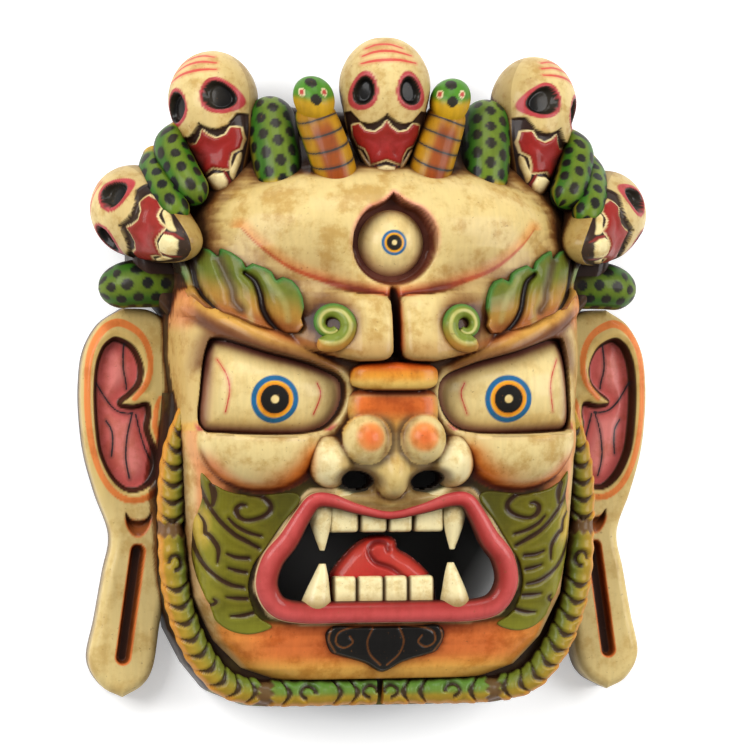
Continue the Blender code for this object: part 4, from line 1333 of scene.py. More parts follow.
@dataclass
class ChinTuft:
    """The black scrolled tuft on the chin."""

    outline: tuple = ((0, -181), (-12, -175), (-25, -171), (-33, -168), (-37, -160), (-37, -154), (-32, -149.5),
                      (-22, -149.5), (-8, -150), (8, -150), (22, -149.5), (32, -149.5), (37, -154), (37, -160),
                      (33, -168), (25, -171), (12, -175))
    scrolls: tuple = (((14, -151, .5), (22, -152, .5), (29, -155, .5), (30, -161, .5), (25, -164, .5), (20, -161, .5),
                       (22, -157, .5)), ((8, -152, .5), (11, -160, .5), (9, -168, .5), (2, -175, .5)),
                      ((33, -152, .4), (34.5, -159, .5), (30, -167, .4)))

    def carve(self, head: Head) -> list[Carving]:
        """A raised leaf-shaped boss with fine scroll lines cut in it.

        Args:
            head: The face it sits on.

        Returns:
            The pieces.
        """
        outline = bend(self.outline, 1.5, closed=True)[:-1]
        x, y = lattice(-42, 42, -186, -145, 0.6)
        edge = rim(x, y, outline)
        ground = head.vault(x, y)
        z = ground - 3 + 6.5 * ease(0.5, -3, edge)
        for scroll in self.scrolls:
            away, _ = trace(np.abs(x), y, bend(scroll, 1.0), 4)
            z = z - 0.8 * np.exp(-(away / 0.9) ** 2)
        piece = relief("chin_tuft", FINISHES.black, (x, y, z), ground - 7, cells(edge < 0.8))
        piece.tint(Hue.BLACK)
        for scroll in self.scrolls:
            away, _ = trace(np.abs(piece.x), piece.y, bend(scroll, 1.0), 4)
            piece.tint("7A4A22", 0.9 * ease(0.75, 0.2, away))
        return [piece]


@dataclass
class Jaw:
    """The plain band round the jaw and the rolled beard that lies on it."""

    band_rows: np.ndarray = field(default_factory=lambda: np.array([
        (-201, 82, 50, 6), (-193, 101, 54, 6), (-177, 114, 55, 6), (-156, 125, 55, 6), (-125, 131, 55, 6),
        (-60, 132, 55, 6), (-12, 128, 54, 6)], float))
    beard_line: tuple = ((118, -22, 55, 4.0), (121.5, -35, 55, 6), (124.5, -50, 55, 7.6), (126, -70, 55, 8.3),
                         (126, -90, 55, 8.3), (124, -125, 55, 8.4), (117, -152, 55, 8.4), (106, -173, 55, 8.4),
                         (92, -186.8, 55, 8.2), (70, -191.8, 55, 8.2), (35, -192.2, 55, 8.2), (2.0, -192.2, 55, 8.0))
    deep: float = 12.0

    def band(self) -> Carving:
        """The band: a ring of superellipse rows between its front and an inner wall, open in the middle.

        Returns:
            The piece.
        """
        y = np.linspace(-201, -12, 238)
        width, crest, power = (np.interp(y, self.band_rows[:, 0], self.band_rows[:, k])[:, None] for k in (1, 2, 3))
        angle = np.linspace(-math.pi / 2, math.pi / 2, 241)[None, :]
        reach = ((np.abs(np.sin(angle)) / width) ** power + (np.abs(np.cos(angle)) / crest) ** power) ** (-1 / power)
        x, z = reach * np.sin(angle), reach * np.cos(angle)
        yy = np.repeat(y[:, None], 241, 1)
        top = np.stack([x, yy, z], -1)
        top[:, (0, -1), 2] = 0
        back = top.copy()
        back[..., 2] = 0
        inner = within((x[1:, 1:] + x[:-1, :-1]) / 2, (yy[1:, 1:] + yy[:-1, :-1]) / 2, np.array([
            (-98, -12), (98, -12), (104, -60), (100, -120), (84, -160), (52, -178), (-52, -178), (-84, -160),
            (-100, -120), (-104, -60)]))
        piece = shell("jaw_band", FINISHES.face, top, back, ~inner)
        piece.tint("6B6A2A")
        piece.tint(Hue.OCHRE, 0.8 * ease(40, 10, piece.points[:, 2]))
        return piece

    def beard(self, name: str, hand: int) -> Carving:
        """A roll along the beard line, swelling between crescent cuts, with a ring scroll cut here and there.

        Args:
            name: The piece's name.
            hand: 1 for the right-hand side and -1 for the left-hand side.

        Returns:
            The piece.
        """
        path = spread(bend(self.beard_line, 1.5), 0.9)
        path[:, 0] *= hand
        run = np.r_[0, np.cumsum(np.linalg.norm(np.diff(path[:, :2], axis=0), axis=1))]
        ahead = np.gradient(path[:, :2], axis=0)
        ahead /= np.linalg.norm(ahead, axis=1)[:, None]
        out = np.stack([-ahead[:, 1], ahead[:, 0]], -1) * hand
        around = np.linspace(0, 2 * math.pi, BEARD_SIDES, endpoint=False)
        c, s = np.cos(around)[None, :], np.sin(around)[None, :]
        widest = 8.3
        across = np.broadcast_to(c * widest, (len(path), BEARD_SIDES))
        along = np.broadcast_to(run[:, None], across.shape)
        facing = np.broadcast_to(s > -0.05, across.shape)
        edge, scar = self.cuts(along, across, run[-1])
        swelling = np.where(facing, -2.1 * np.exp(-(np.maximum(edge, 0) / 0.9) ** 2) - 1.6 * scar, 0)
        radius = path[:, 3][:, None] * (1 + 0.04 * np.sin(2 * math.pi * along / 10.4)) + swelling
        low = np.where(s < 0, self.deep / widest, 1.0)
        loops = np.empty((len(path), BEARD_SIDES, 3))
        loops[..., :2] = path[:, None, :2] + out[:, None] * (radius * c)[..., None]
        loops[..., 2] = path[:, 2, None] + radius * s * low
        piece = rings(name, FINISHES.leaf, loops)
        across, along, edge, scar = (np.r_[v.ravel(), v[0, 0], v[-1, -1]] for v in (across, along, edge, scar))
        piece.tint("86781A")
        piece.tint("56641C", 0.85 * ease(0, -5, across))
        piece.tint("A8821E", 0.75 * ease(-1, 4, across))
        piece.tint("CC8426", 0.85 * ease(4.8, 7.2, across))
        piece.tint("4E7A2C", 0.8 * ease(0.66, 0.8, along / run[-1]) * ease(3, -1, across))
        piece.tint("5A3A24", 0.9 * scar)
        piece.tint("2E170C", 0.95 * ease(0.8, 0.1, edge))
        return piece

    def cuts(self, along: np.ndarray, across: np.ndarray, length: float) -> tuple[np.ndarray, np.ndarray]:
        """Where the beard is cut: crescents every 10 mm, ring scrolls, and the rough breaks between its locks.

        A crescent is |along - place - bow| less a half width that narrows to its tips. A ring is the distance to a
        circle, open on one side.

        Args:
            along: Distance down the beard.
            across: Distance out from its middle.
            length: The beard's length.

        Returns:
            Distance to the nearest cut's edge, and the weight of the breaks.
        """
        edge = np.full(along.shape, FAR)
        rings_at, breaks = (92.0, 224.0, 262.0), (72.0, 198.0)
        for place in np.arange(12, length - 4, 10.4):
            if min(abs(place - r) for r in rings_at) < 9 or min(abs(place - b) for b in breaks) < 5:
                continue
            bow = 3.0 * (1 - (across / 6.4) ** 2)
            half = 1.35 * np.clip(1 - (np.abs(across + 0.3) / 6.9) ** 2, -1, 1)
            edge = np.minimum(edge, np.abs(along - place - bow) - half)
        for place in rings_at:
            u, v = along - place, across + 0.5
            gap = np.abs(np.hypot(u, v) - 4.4)
            opening = (np.arctan2(v, u) > 0.2) & (np.arctan2(v, u) < 1.6)
            edge = np.minimum(edge, np.where(opening, FAR, gap - 0.85))
        scar = np.zeros(along.shape)
        for place in breaks:
            scar = np.maximum(scar, ease(5.2, 3.2, np.abs(along - place - 1.2 * np.cos(across * 1.1))))
        return edge, scar

    def carve(self) -> list[Carving]:
        """The band and both halves of the beard."""
        return [self.band(), self.beard("beard_right", 1), self.beard("beard_left", -1)]


@dataclass
class Ear:
    """A long-lobed ear: a flat slab with a round rim, a red hollow under a scroll, a crescent and a long slot."""

    thickness: float = 25.0
    hollow_depth: float = 9.0
    outer: np.ndarray = field(default_factory=lambda: bend([
        (151, 39.3), (165, 29.5), (174, 13), (176.6, -8), (175.9, -30), (173, -51), (166.5, -74), (158, -99),
        (162, -122), (167, -150), (171.5, -174), (164, -189.5), (151.5, -196.5)], 1.0))
    inner: np.ndarray = field(default_factory=lambda: bend([
        (151, 39.3), (137, 38.5), (127.5, 34), (117, 26), (114, 10), (114, -50), (115, -108), (123, -128),
        (128.5, -151), (132.5, -177), (139, -189), (151.5, -196.5)], 1.0))
    concha: np.ndarray = field(default_factory=lambda: bend([
        (155, 21.5), (145, 16), (139.6, 4.6), (140.6, -6), (146, -13), (152, -18.2), (145, -19.6), (136.5, -18),
        (134.6, -24), (135.8, -33), (133.4, -41), (130.5, -49), (130, -58), (134.5, -67), (142, -71.6),
        (150.5, -71), (159, -63), (165.5, -49), (168, -33), (169, -13), (168, 3.5), (165, 13.5), (161, 19)],
        1.0, closed=True)[:-1])
    crescent: np.ndarray = field(default_factory=lambda: bend([
        (134, -85), (137.5, -88.4), (142, -89.6), (146.5, -88.4), (150, -84), (149, -92), (145, -98), (140, -98),
        (136, -93)], 1.0, closed=True)[:-1])
    slot: tuple = ((142.5, -108), (147, -140), (151.5, -172))
    orange: tuple = ((144.5, -15.5, 1.6), (137.3, -6.1, 1.8), (134.9, 4.4, 1.8), (136.4, 15, 1.9), (141.6, 24, 2),
                     (150.2, 29.5, 2.3), (157, 30.2, 2.4), (164, 25.7, 2.2), (169.9, 16, 2), (172.6, 4.4, 1.9),
                     (173.2, -8.2, 1.8), (173, -23, 1.8), (171.2, -38.9, 1.8), (168, -52.7, 1.8), (163.6, -63.3, 1.8),
                     (157.6, -71.5, 1.9), (150, -76.3, 2), (141.6, -76.8, 2), (133.4, -73, 2), (127.6, -66, 2),
                     (125.9, -58, 1.9), (127, -48.4, 1.8), (130.2, -39, 1.8), (132.2, -31.5, 1.7), (131.2, -21, 1.5),
                     (129, -14.6, .9))
    veins: tuple = (((150, 17.7), (150.7, 8.7), (150.4, 1.3), (149, -5.1), (148.5, -9.8)),
                    ((167.1, -5.9), (163.1, -12.5), (158.8, -18.8), (154, -23.1), (148, -24.6), (144.8, -24.1)),
                    ((161, -28.9), (157.7, -34.7), (157, -42.1), (157.7, -50.6)),
                    ((145, -24.6), (147.8, -35.7), (148.9, -44.2), (148.9, -53.7), (146.7, -64.3)),
                    ((142.9, -25.2), (140, -36.8), (137, -46.3), (133, -54.6)))

    def carve(self) -> list[Carving]:
        """Both ears, as rows from the inner to the outer outline.

        Returns:
            The pieces.
        """
        pieces = []
        for name, hand in SIDES:
            t = np.linspace(0, 1, EAR_ROWS)
            y = EAR_ENDS[0] + (EAR_ENDS[1] - EAR_ENDS[0]) * (t - 0.92 * np.sin(2 * math.pi * t) / (2 * math.pi))
            high = np.interp(y, self.outer[::-1, 1], self.outer[::-1, 0])[:, None]
            low = np.interp(y, self.inner[::-1, 1], self.inner[::-1, 0])[:, None]
            s = np.linspace(0, 1, EAR_COLUMNS)[None, :]
            s = s - 0.35 * np.sin(2 * math.pi * s) / (2 * math.pi)
            x = low + (high - low) * s
            yy = np.repeat(y[:, None], EAR_COLUMNS, 1)
            z = self.height(x, yy)
            piece = relief(f"ear_{name}", FINISHES.ear, (x, yy, z), 0.0, hand=hand)
            self.dress(piece, hand)
            pieces.append(piece)
        return pieces

    def height(self, x: np.ndarray, y: np.ndarray) -> np.ndarray:
        """The slab's face: a round rim, the sunk hollow, crescent and slot, and a soft hollow along the lobe.

        Args:
            x: X of each point, in mm.
            y: Y of each point, in mm.

        Returns:
            Height at each point, in mm.
        """
        outline = np.vstack([self.outer, self.inner[::-1][1:-1]])
        edge = -rim(x, y, outline, 30)
        edge = np.where(np.abs(edge) >= FAR - 1, 12, edge)
        edge = np.where(x < 124, np.maximum(edge, 6 * ease(0, -60, y) * ease(30, 20, y)), edge)
        roundness = np.clip(1 - np.clip(edge, 0, 6) / 6, 0, 1)
        z = self.thickness - 5.5 * (1 - np.sqrt(1 - 0.98 * roundness ** 2))
        hole = rim(x, y, self.concha, 10)
        z = z + 1.0 * np.exp(-((hole - 3.5) / 2.5) ** 2)
        sunk = ease(0.6, -2.2, hole)
        z = z - (self.hollow_depth - 2.2 * ease(-3, -14, hole)) * sunk
        hole = rim(x, y, self.crescent, 6)
        z = z - 6.0 * ease(0.3, -4.0, hole) * ease(-99, -90, y) - 1.2 * ease(0.3, -0.9, hole)
        away, _ = trace(x, y, bend(self.slot, 2.0), 9)
        return z - 7.5 * ease(4.5, 2.6, away)

    def dress(self, piece: Carving, hand: int) -> None:
        """Cream slab, orange line round the hollow, dark wall, crimson bed with black veins.

        Args:
            piece: The piece to paint.
            hand: 1 for the right-hand side and -1 for the left-hand side.
        """
        x, y, z = piece.x * hand, piece.y, piece.points[:, 2]
        piece.tint(Hue.CREAM)
        piece.tint(Hue.PALE, 0.6 * ease(-60, -90, y))
        # less antiquing patina and painted shade down the lobes
        piece.patina_and_shade_taken_off = 0.5 * ease(-60, -100, y)
        piece.tint("D8C88E", 0.6 * ease(14, 2, z))
        hole = rim(x, y, self.concha, 10)
        piece.tint("C9A558", 0.45 * ease(9, 2, hole) * ease(0, 1, hole))
        away, at = trace(x, y, bend(self.orange, 1.5), 6)
        piece.tint("D97B3A", ease(0.35, -0.25, away - at[:, 2]))
        piece.tint("CC5E58", ease(0.4, -0.6, hole))
        # painted highlight: the bed paler pink where it swells in the middle
        piece.tint("E08A80", 0.7 * ease(-5, -14, hole))
        piece.tint("3B2212", ease(0.9, 0.2, hole) * ease(-3.1, -2.2, hole))
        for vein in self.veins:
            away, _ = trace(x, y, bend(vein, 1.0), 4)
            piece.brush(away, 0.55, Hue.SLATE)
        hole = rim(x, y, self.crescent, 6)
        piece.tint("C8682E", ease(1.6, 0.2, hole) * ease(-86, -90, y))
        piece.tint("8A4A22", ease(0.3, -0.5, hole))
        piece.tint("321A0C", 0.9 * ease(0.2, -0.5, hole) * ease(-94, -89, y))
        away, _ = trace(x, y, bend(self.slot, 2.0), 9)
        piece.tint("D07032", ease(5.5, 4.7, away))
        piece.tint("6A3412", ease(4.3, 3.6, away))
        piece.tint("241208", 0.85 * ease(3.2, 1.4, away))


@dataclass
class Skull:
    """A small skull: rings down its own axis, its face worked out from offsets across and up."""

    name: str
    centre: tuple
    up: tuple
    facing: tuple
    hand: int = 1
    widths: np.ndarray = field(default_factory=lambda: bend([
        (31, 0.3, 0.3), (30.2, 7, 6.6), (28, 12.4, 12), (24, 17.8, 17), (18, 22.6, 21.5), (10, 26.2, 24.8),
        (2, 27.4, 26), (-6, 26.6, 25.6), (-13, 25, 24.2), (-19, 24, 22.6), (-26, 22.4, 20.4), (-34, 19.4, 18.2),
        (-42, 15.9, 16.6), (-50, 12.4, 14.6), (-56, 8.8, 11), (-59.2, 5, 6.5), (-60.4, 0.3, 0.3)], 0.45))
    scallop: tuple = ((-24.5, -14.3), (-21.2, -13.8), (-19.1, -16.4), (-15.5, -20.5), (-10.4, -21.9), (-6.3, -21),
                      (-2.2, -18.4), (0, -16.2), (2.2, -18.4), (6.3, -21), (10.4, -21.9), (15.5, -20.5),
                      (19.1, -16.4), (21.2, -13.8), (24.5, -14.3))
    panel: tuple = ((-20.9, -22.4), (-16.6, -21.9), (-12.8, -26), (-7.2, -27), (-2.8, -24), (0, -20.4), (2.8, -24),
                    (7.2, -27), (12.8, -26), (16.6, -21.9), (20.9, -22.4), (20.2, -28.5), (17.4, -34.2),
                    (13.2, -36.4), (10.8, -41), (9.6, -45.6), (7.4, -45.4), (0, -43), (-7.4, -45.4),
                    (-9.6, -45.6), (-10.8, -41),
                    (-13.2, -36.4), (-17.4, -34.2), (-20.2, -28.5))
    tooth: tuple = ((-6, -47.4), (0, -46.4), (6, -47.4), (6.7, -52), (5.2, -56), (0, -57.4), (-5.2, -56),
                    (-6.7, -52))
    side_tooth: tuple = ((17.2, -36.6), (15.6, -41), (12.6, -46.5), (9.4, -51.8), (9, -47.4), (12.2, -42.5),
                         (15.2, -37.6))
    stripes: tuple = (((-12.5, 22.6, .4), (-6, 25, .6), (2, 25.2, .6), (9.5, 23, .4)),
                      ((-14.5, 18, .5), (-6, 20.6, .8), (4, 20.8, .8), (15, 18.4, .4)),
                      ((-15.3, 13.4, .5), (-6, 15, .9), (6, 15.5, .9), (17.5, 14, .5)))
    eye: tuple = (13.8, -2.6, 6.3, 8.6)

    def sockets(self, x: np.ndarray, y: np.ndarray) -> np.ndarray:
        """Distance past the egg-shaped edge of either socket, in mm: narrower above, and leaning outward below."""
        cx, cy, rx, ry = self.eye
        v = y - cy
        u = np.abs(x) - cx + 0.10 * v
        wide = rx * (1 - 0.16 * np.clip(v / ry, -1, 1))
        return (np.hypot(u / wide, v / ry) - 1) * rx

    def carve(self) -> Carving:
        """The skull with its sockets, the dark gap under its scalloped edge, the red mouth panel and teeth.

        Returns:
            The piece.
        """
        place = spread(np.c_[self.widths, np.zeros(len(self.widths))][:, [0, 1, 2]], 0.75)
        around = np.linspace(0, 2 * math.pi, 176, endpoint=False)
        around = around + 0.21 * np.sin(2 * around)
        x = place[:, 1, None] * np.sin(around)
        z = place[:, 2, None] * np.cos(around)
        y = np.repeat(place[:, 0, None], len(around), 1)
        face = np.broadcast_to(ease(0.06, 0.30, np.cos(around)), x.shape)
        eye = self.sockets(x, y)
        panel, tooth = rim(x, y, np.array(self.panel)), rim(x, y, np.array(self.tooth))
        fang = rim(np.abs(x), y, bend(self.side_tooth, 1.0, closed=True)[:-1])
        gap = ease(0.1, 1.0, np.interp(x, *np.array(self.scallop).T) - y)
        sink = 6.5 * ease(0.2, -2.2, eye) + gap * (2.6 - 1.3 * ease(0.3, -0.9, panel) - 2.0 * ease(0.3, -1.2, tooth)
                                                   - 1.5 * ease(0.2, -0.9, fang))
        sink = sink + 1.0 * gap * ease(-2, -9, panel)
        shrink = 1 - np.clip(sink * face / np.maximum(np.hypot(x, z), 6), 0, 0.6)
        loops = np.stack([x * (1 - (1 - shrink) * 0.35), y, z * shrink], -1)
        up = Vector(self.up).normalized()
        ahead = Vector(self.facing)
        ahead = (ahead - up * ahead.dot(up)).normalized()
        mirror = (self.hand, 1, 1)
        axes = np.array([up.cross(ahead), up, ahead]) * mirror
        piece = rings(self.name, FINISHES.bone, loops @ axes + np.array(self.centre) * mirror)
        ends = place[0, 0], place[-1, 0]
        self.dress(piece, np.r_[x.ravel(), 0, 0], np.r_[y.ravel(), ends], np.r_[face.ravel() > 0.4, False, False])
        return piece

    def dress(self, piece: Carving, x: np.ndarray, y: np.ndarray, face: np.ndarray) -> None:
        """Ivory bone, black sockets with red rims, three red stripes, dark gap, crimson panel edged cream.

        Args:
            piece: The piece to paint.
            x: Offset across the skull, in mm.
            y: Height along the skull's own axis, in mm.
            face: Where the carved face is, at each point.
        """
        piece.tint(Hue.IVORY)
        # painted highlight on the front of the cranium, and painted shade round its back and sides
        piece.tint(Hue.PALE, 0.6 * face * ease(22, 8, np.hypot(x, y - 8)))
        piece.tint("8C7340", 0.4 * (1 - face) + 0.25 * ease(12, 26, np.abs(x)))
        for stripe in self.stripes:
            away, at = trace(x, y, bend(stripe, 1.0), 4)
            piece.brush(np.where(face, away, FAR), at[:, 2] * 0.9, "BE4038")
        eye = self.sockets(x, y)
        piece.tint("A8343A", face * ease(2.5, 2.0, eye))
        piece.tint("0B0807", face * ease(0.35, -0.15, eye))
        below = np.interp(x, *np.array(self.scallop).T) - y
        gap = face * ease(-0.2, 0.35, below)
        # painted shade on the back of the jaw
        piece.tint("A08448", (y < -16) * (1.0 - face))
        piece.tint("2A1710", gap)
        panel = rim(x, y, np.array(self.panel))
        piece.tint("D9C48C", gap * ease(1.0, 0.6, panel))
        piece.tint("8A1C16", gap * ease(0.15, -0.3, panel))
        piece.tint("B84A4C", 0.4 * gap * ease(-3, -8, panel) * ease(-40, -30, y))
        fang = rim(np.abs(x), y, bend(self.side_tooth, 1.0, closed=True)[:-1])
        piece.tint("D6C288", gap * ease(0.2, -0.3, fang))
        tooth = rim(x, y, np.array(self.tooth))
        piece.tint("7A1F1C", gap * ease(1.9, 1.4, tooth) * ease(5.5, 6.5, np.abs(x)))
        piece.tint("E0CF98", gap * ease(0.3, -0.3, tooth))


@dataclass
class Serpent:
    """A serpent's coil: a round body along a bent line, spotted on green, or banded on its yellow belly."""

    name: str
    line: tuple
    hand: int = 1
    belly: bool = False
    spacing: float = 10.5
    spot: float = 3.3
    aside: float = 0.0

    def carve(self) -> list[Carving]:
        """The body, with round ends, and the snout of a serpent that shows its belly.

        Returns:
            The pieces.
        """
        path = spread(bend(self.line, 1.0), 0.8)
        path[:, 0] = path[:, 0] * self.hand + self.aside
        ahead = np.gradient(path[:, :3], axis=0)
        ahead /= np.linalg.norm(ahead, axis=1)[:, None]
        side = np.cross(ahead, (0, 0, 1.0))
        side /= np.linalg.norm(side, axis=1)[:, None]
        up = np.cross(side, ahead)
        around = np.linspace(0, 2 * math.pi, SERPENT_SIDES, endpoint=False)
        run = np.r_[0, np.cumsum(np.linalg.norm(np.diff(path[:, :3], axis=0), axis=1))]
        left = run[-1] - run
        tip = np.sqrt(np.clip(1 - np.clip(1 - left / np.maximum(path[:, 3], 1), 0, 1) ** 2, 0.0004, 1))
        radius = path[:, 3] * tip
        loops = path[:, None, :3] + radius[:, None, None] * (
            side[:, None] * np.cos(around)[None, :, None] + up[:, None] * np.sin(around)[None, :, None])
        piece = rings(self.name, FINISHES.skin, loops)
        along = np.r_[np.repeat(run, SERPENT_SIDES), 0, run[-1]]
        turn = np.r_[np.tile(around, len(path)), 0, 0]
        over = np.sin(turn)
        across = (turn - math.pi / 2) * path[:, 3].mean()
        (self.band if self.belly else self.spots)(piece, along, across, over)
        return [piece, self.snout()] if self.belly else [piece]

    def spots(self, piece: Carving, along: np.ndarray, across: np.ndarray, over: np.ndarray) -> None:
        """Staggered rounds of black on green: rows every spacing round the body, each shifted by half a step."""
        piece.tint("2E5E12")
        # painted highlight along the top of the body
        piece.tint("6C7A18", 0.6 * ease(0.75, 1.0, over))
        piece.tint("C79A1C", 0.85 * ease(8, 2, along))
        piece.tint("A88A1A", 0.6 * ease(0.55, 0.2, np.abs(over)) * ease(2, -2, across * self.hand))
        # painted shade along its underside
        piece.tint("1E2C14", 0.85 * ease(0.5, 0.0, over))
        rows = np.round(across / (self.spacing * 0.80))
        u = along - self.spacing * (0.5 + 0.5 * (rows % 2))
        u = u - self.spacing * np.round(u / self.spacing)
        v = across - rows * self.spacing * 0.80
        piece.tint("121311", ease(0.35, -0.35, np.hypot(u, v * 1.05) - self.spot) * ease(2, 4, along))

    def band(self, piece: Carving, along: np.ndarray, across: np.ndarray, over: np.ndarray) -> None:
        """Yellow belly with a red-brown middle, crossed by five thin black lines that bow downwards."""
        piece.tint("A87810")
        piece.tint("84300C", 0.9 * ease(9.0, 4.0, np.abs(across + 1.5 * self.hand)) * ease(46, 34, along))
        piece.tint("4F6A1A", 0.8 * ease(0.35, 0.0, over))
        bow = 2.0 * (across / 12) ** 2
        for k in range(5):
            gap = np.abs(along - (6.5 + k * 9.2) - bow + 1.5)
            piece.brush(np.where((over > -0.1), gap, FAR), 0.55, Hue.SLATE)

    def snout(self) -> Carving:
        """The head: an egg that hangs over the neck, green above and yellow below, with two spots and red eyes.

        Returns:
            The piece.
        """
        centre = np.array([41.3 * self.hand + self.aside, 162.0, 79.5])
        radii = (12.3, 14.6, 12.8)
        lift = np.linspace(-math.pi / 2, math.pi / 2, 48)[1:-1, None]
        turn = np.linspace(0, 2 * math.pi, 80, endpoint=False)[None, :]
        unit = np.stack([np.cos(lift) * np.sin(turn) * (1 + 0.10 * np.sin(lift)), np.sin(lift) + 0 * turn,
                         np.cos(lift) * np.cos(turn)], -1)
        loops = unit * radii
        lean = 0.12 * self.hand
        loops[..., 0] += lean * loops[..., 1]
        piece = rings(self.name + "_snout", FINISHES.skin, loops + centre)
        x, y = piece.x - centre[0] - lean * (piece.y - centre[1]), piece.y - centre[1]
        ahead = piece.points[:, 2] > centre[2] - 2
        piece.tint("3E7A16")
        piece.tint("C09214", 0.95 * ease(1.5, -4, y - 0.02 * x ** 2))
        shift = -2.2
        for u, v, a, b in ((shift, 7.4, 3.6, 3.0), (shift + 1.2, -2.9, 3.3, 3.3)):
            piece.tint("121311", ahead * ease(1.06, 0.94, np.hypot((x - u) / a, (y - v - 2.5) / b)))
        for u in (-6.8, 6.2):
            q = np.hypot((x - shift - u - 0.6) / 1.8, (y - 4.1) / 2.6)
            piece.tint("D8C89A", ahead * ease(1.08, 0.96, q))
            piece.tint("AE3A34", ahead * ease(0.72, 0.60, q))
        return piece


@dataclass
class Crown:
    """The block behind the skulls and serpents, with every skull and serpent that is carved on it."""

    height: float = 48.0
    round: float = 9.0
    outline: tuple = ((0, 158), (40, 160), (75, 163), (104, 154), (124, 134), (140, 119), (146, 92), (146, 60),
                      (126, 34))
    inside: tuple = ((0, 136), (35, 136), (70, 133), (97, 122), (112, 105), (119, 85), (120, 60), (119, 34))

    def block(self) -> Carving:
        """The backing: an arch from its inner edge in the head's wall to its outline, round at the front edge.

        Returns:
            The piece.
        """
        edges = []
        for half in (self.outline, self.inside):
            line = np.array(half, float)
            line = bend(np.vstack([line[::-1], line[1:] * (-1, 1)]), 2.0)
            run = np.r_[0, np.cumsum(np.linalg.norm(np.diff(line, axis=0), axis=1))]
            places = np.linspace(0, run[-1], 300)
            edges.append(np.stack([np.interp(places, run, line[:, k]) for k in (0, 1)], -1)[:, None])
        out = (1 - (1 - np.linspace(0, 1, 26)) ** 1.6)[None, :, None]
        flat = edges[1] + (edges[0] - edges[1]) * out
        gap = np.linalg.norm(edges[0] - flat, axis=2)
        height = self.height - self.round * (1 - np.sqrt(1 - np.clip(1 - gap / self.round, 0, 1) ** 2))
        top = np.concatenate([flat, height[..., None]], 2)
        back = np.concatenate([flat, np.zeros_like(gap)[..., None]], 2)
        piece = shell("crown_block", FINISHES.bone, top, back)
        piece.tint("4A3320")
        return piece

    def carve(self) -> list[Carving]:
        """The block, five skulls and ten serpents.

        Returns:
            The pieces.
        """
        pieces = [self.block()]
        skulls = [Skull("skull_middle", (0, 170, 74), (0, 1, 0), (-0.13, 0, 1))]
        bodies = {
            "serpent_head": (((25.5, 108, 80, 13), (30.5, 126, 80, 13), (35.5, 141, 78, 12.8), (39.5, 153, 75, 12.3),
                              (41, 164, 73, 11.5)), True),
            "serpent_coil": (((62, 108, 68, 13.5), (64, 128, 64, 15), (65.5, 146, 57, 15.2), (66.5, 157, 52, 14.4),
                              (67, 165, 48, 12.6)), False),
            "serpent_upper": (((118, 144, 38, 9), (125, 136, 46, 10.5), (122, 124, 54, 11), (117, 112, 62, 11),
                               (109, 101, 66, 10)), False),
            "serpent_lower": (((132, 130, 34, 9), (135, 121, 44, 9.5), (132, 109, 58, 9.8), (127, 98, 68, 9.6),
                               (121, 89, 72, 8.4)), False),
            "serpent_side": (((112, 53, 36, 13.4), (142, 54, 34, 14.6), (156, 52, 31, 13.2), (167, 50.5, 29, 11)),
                             False)}
        for name, hand in SIDES:
            skulls.append(Skull(f"skull_shoulder_{name}", (99, 163, 43), (0.12, 0.97, -0.20), (0.60, 0, 0.80), hand,
                                eye=(14.6, -2.6, 8.2, 8.9)))
            skulls.append(Skull(f"skull_temple_{name}", (145, 97, 37), (0.44, 0.40, -0.80), (0.82, -0.12, 0.42), hand,
                                eye=(14.2, -2.6, 7.4, 8.9)))
            for body, (line, belly) in bodies.items():
                pieces += Serpent(f"{body}_{name}", line, hand, belly, aside=-2.6 if belly else 0.0).carve()
        return pieces + [skull.carve() for skull in skulls]


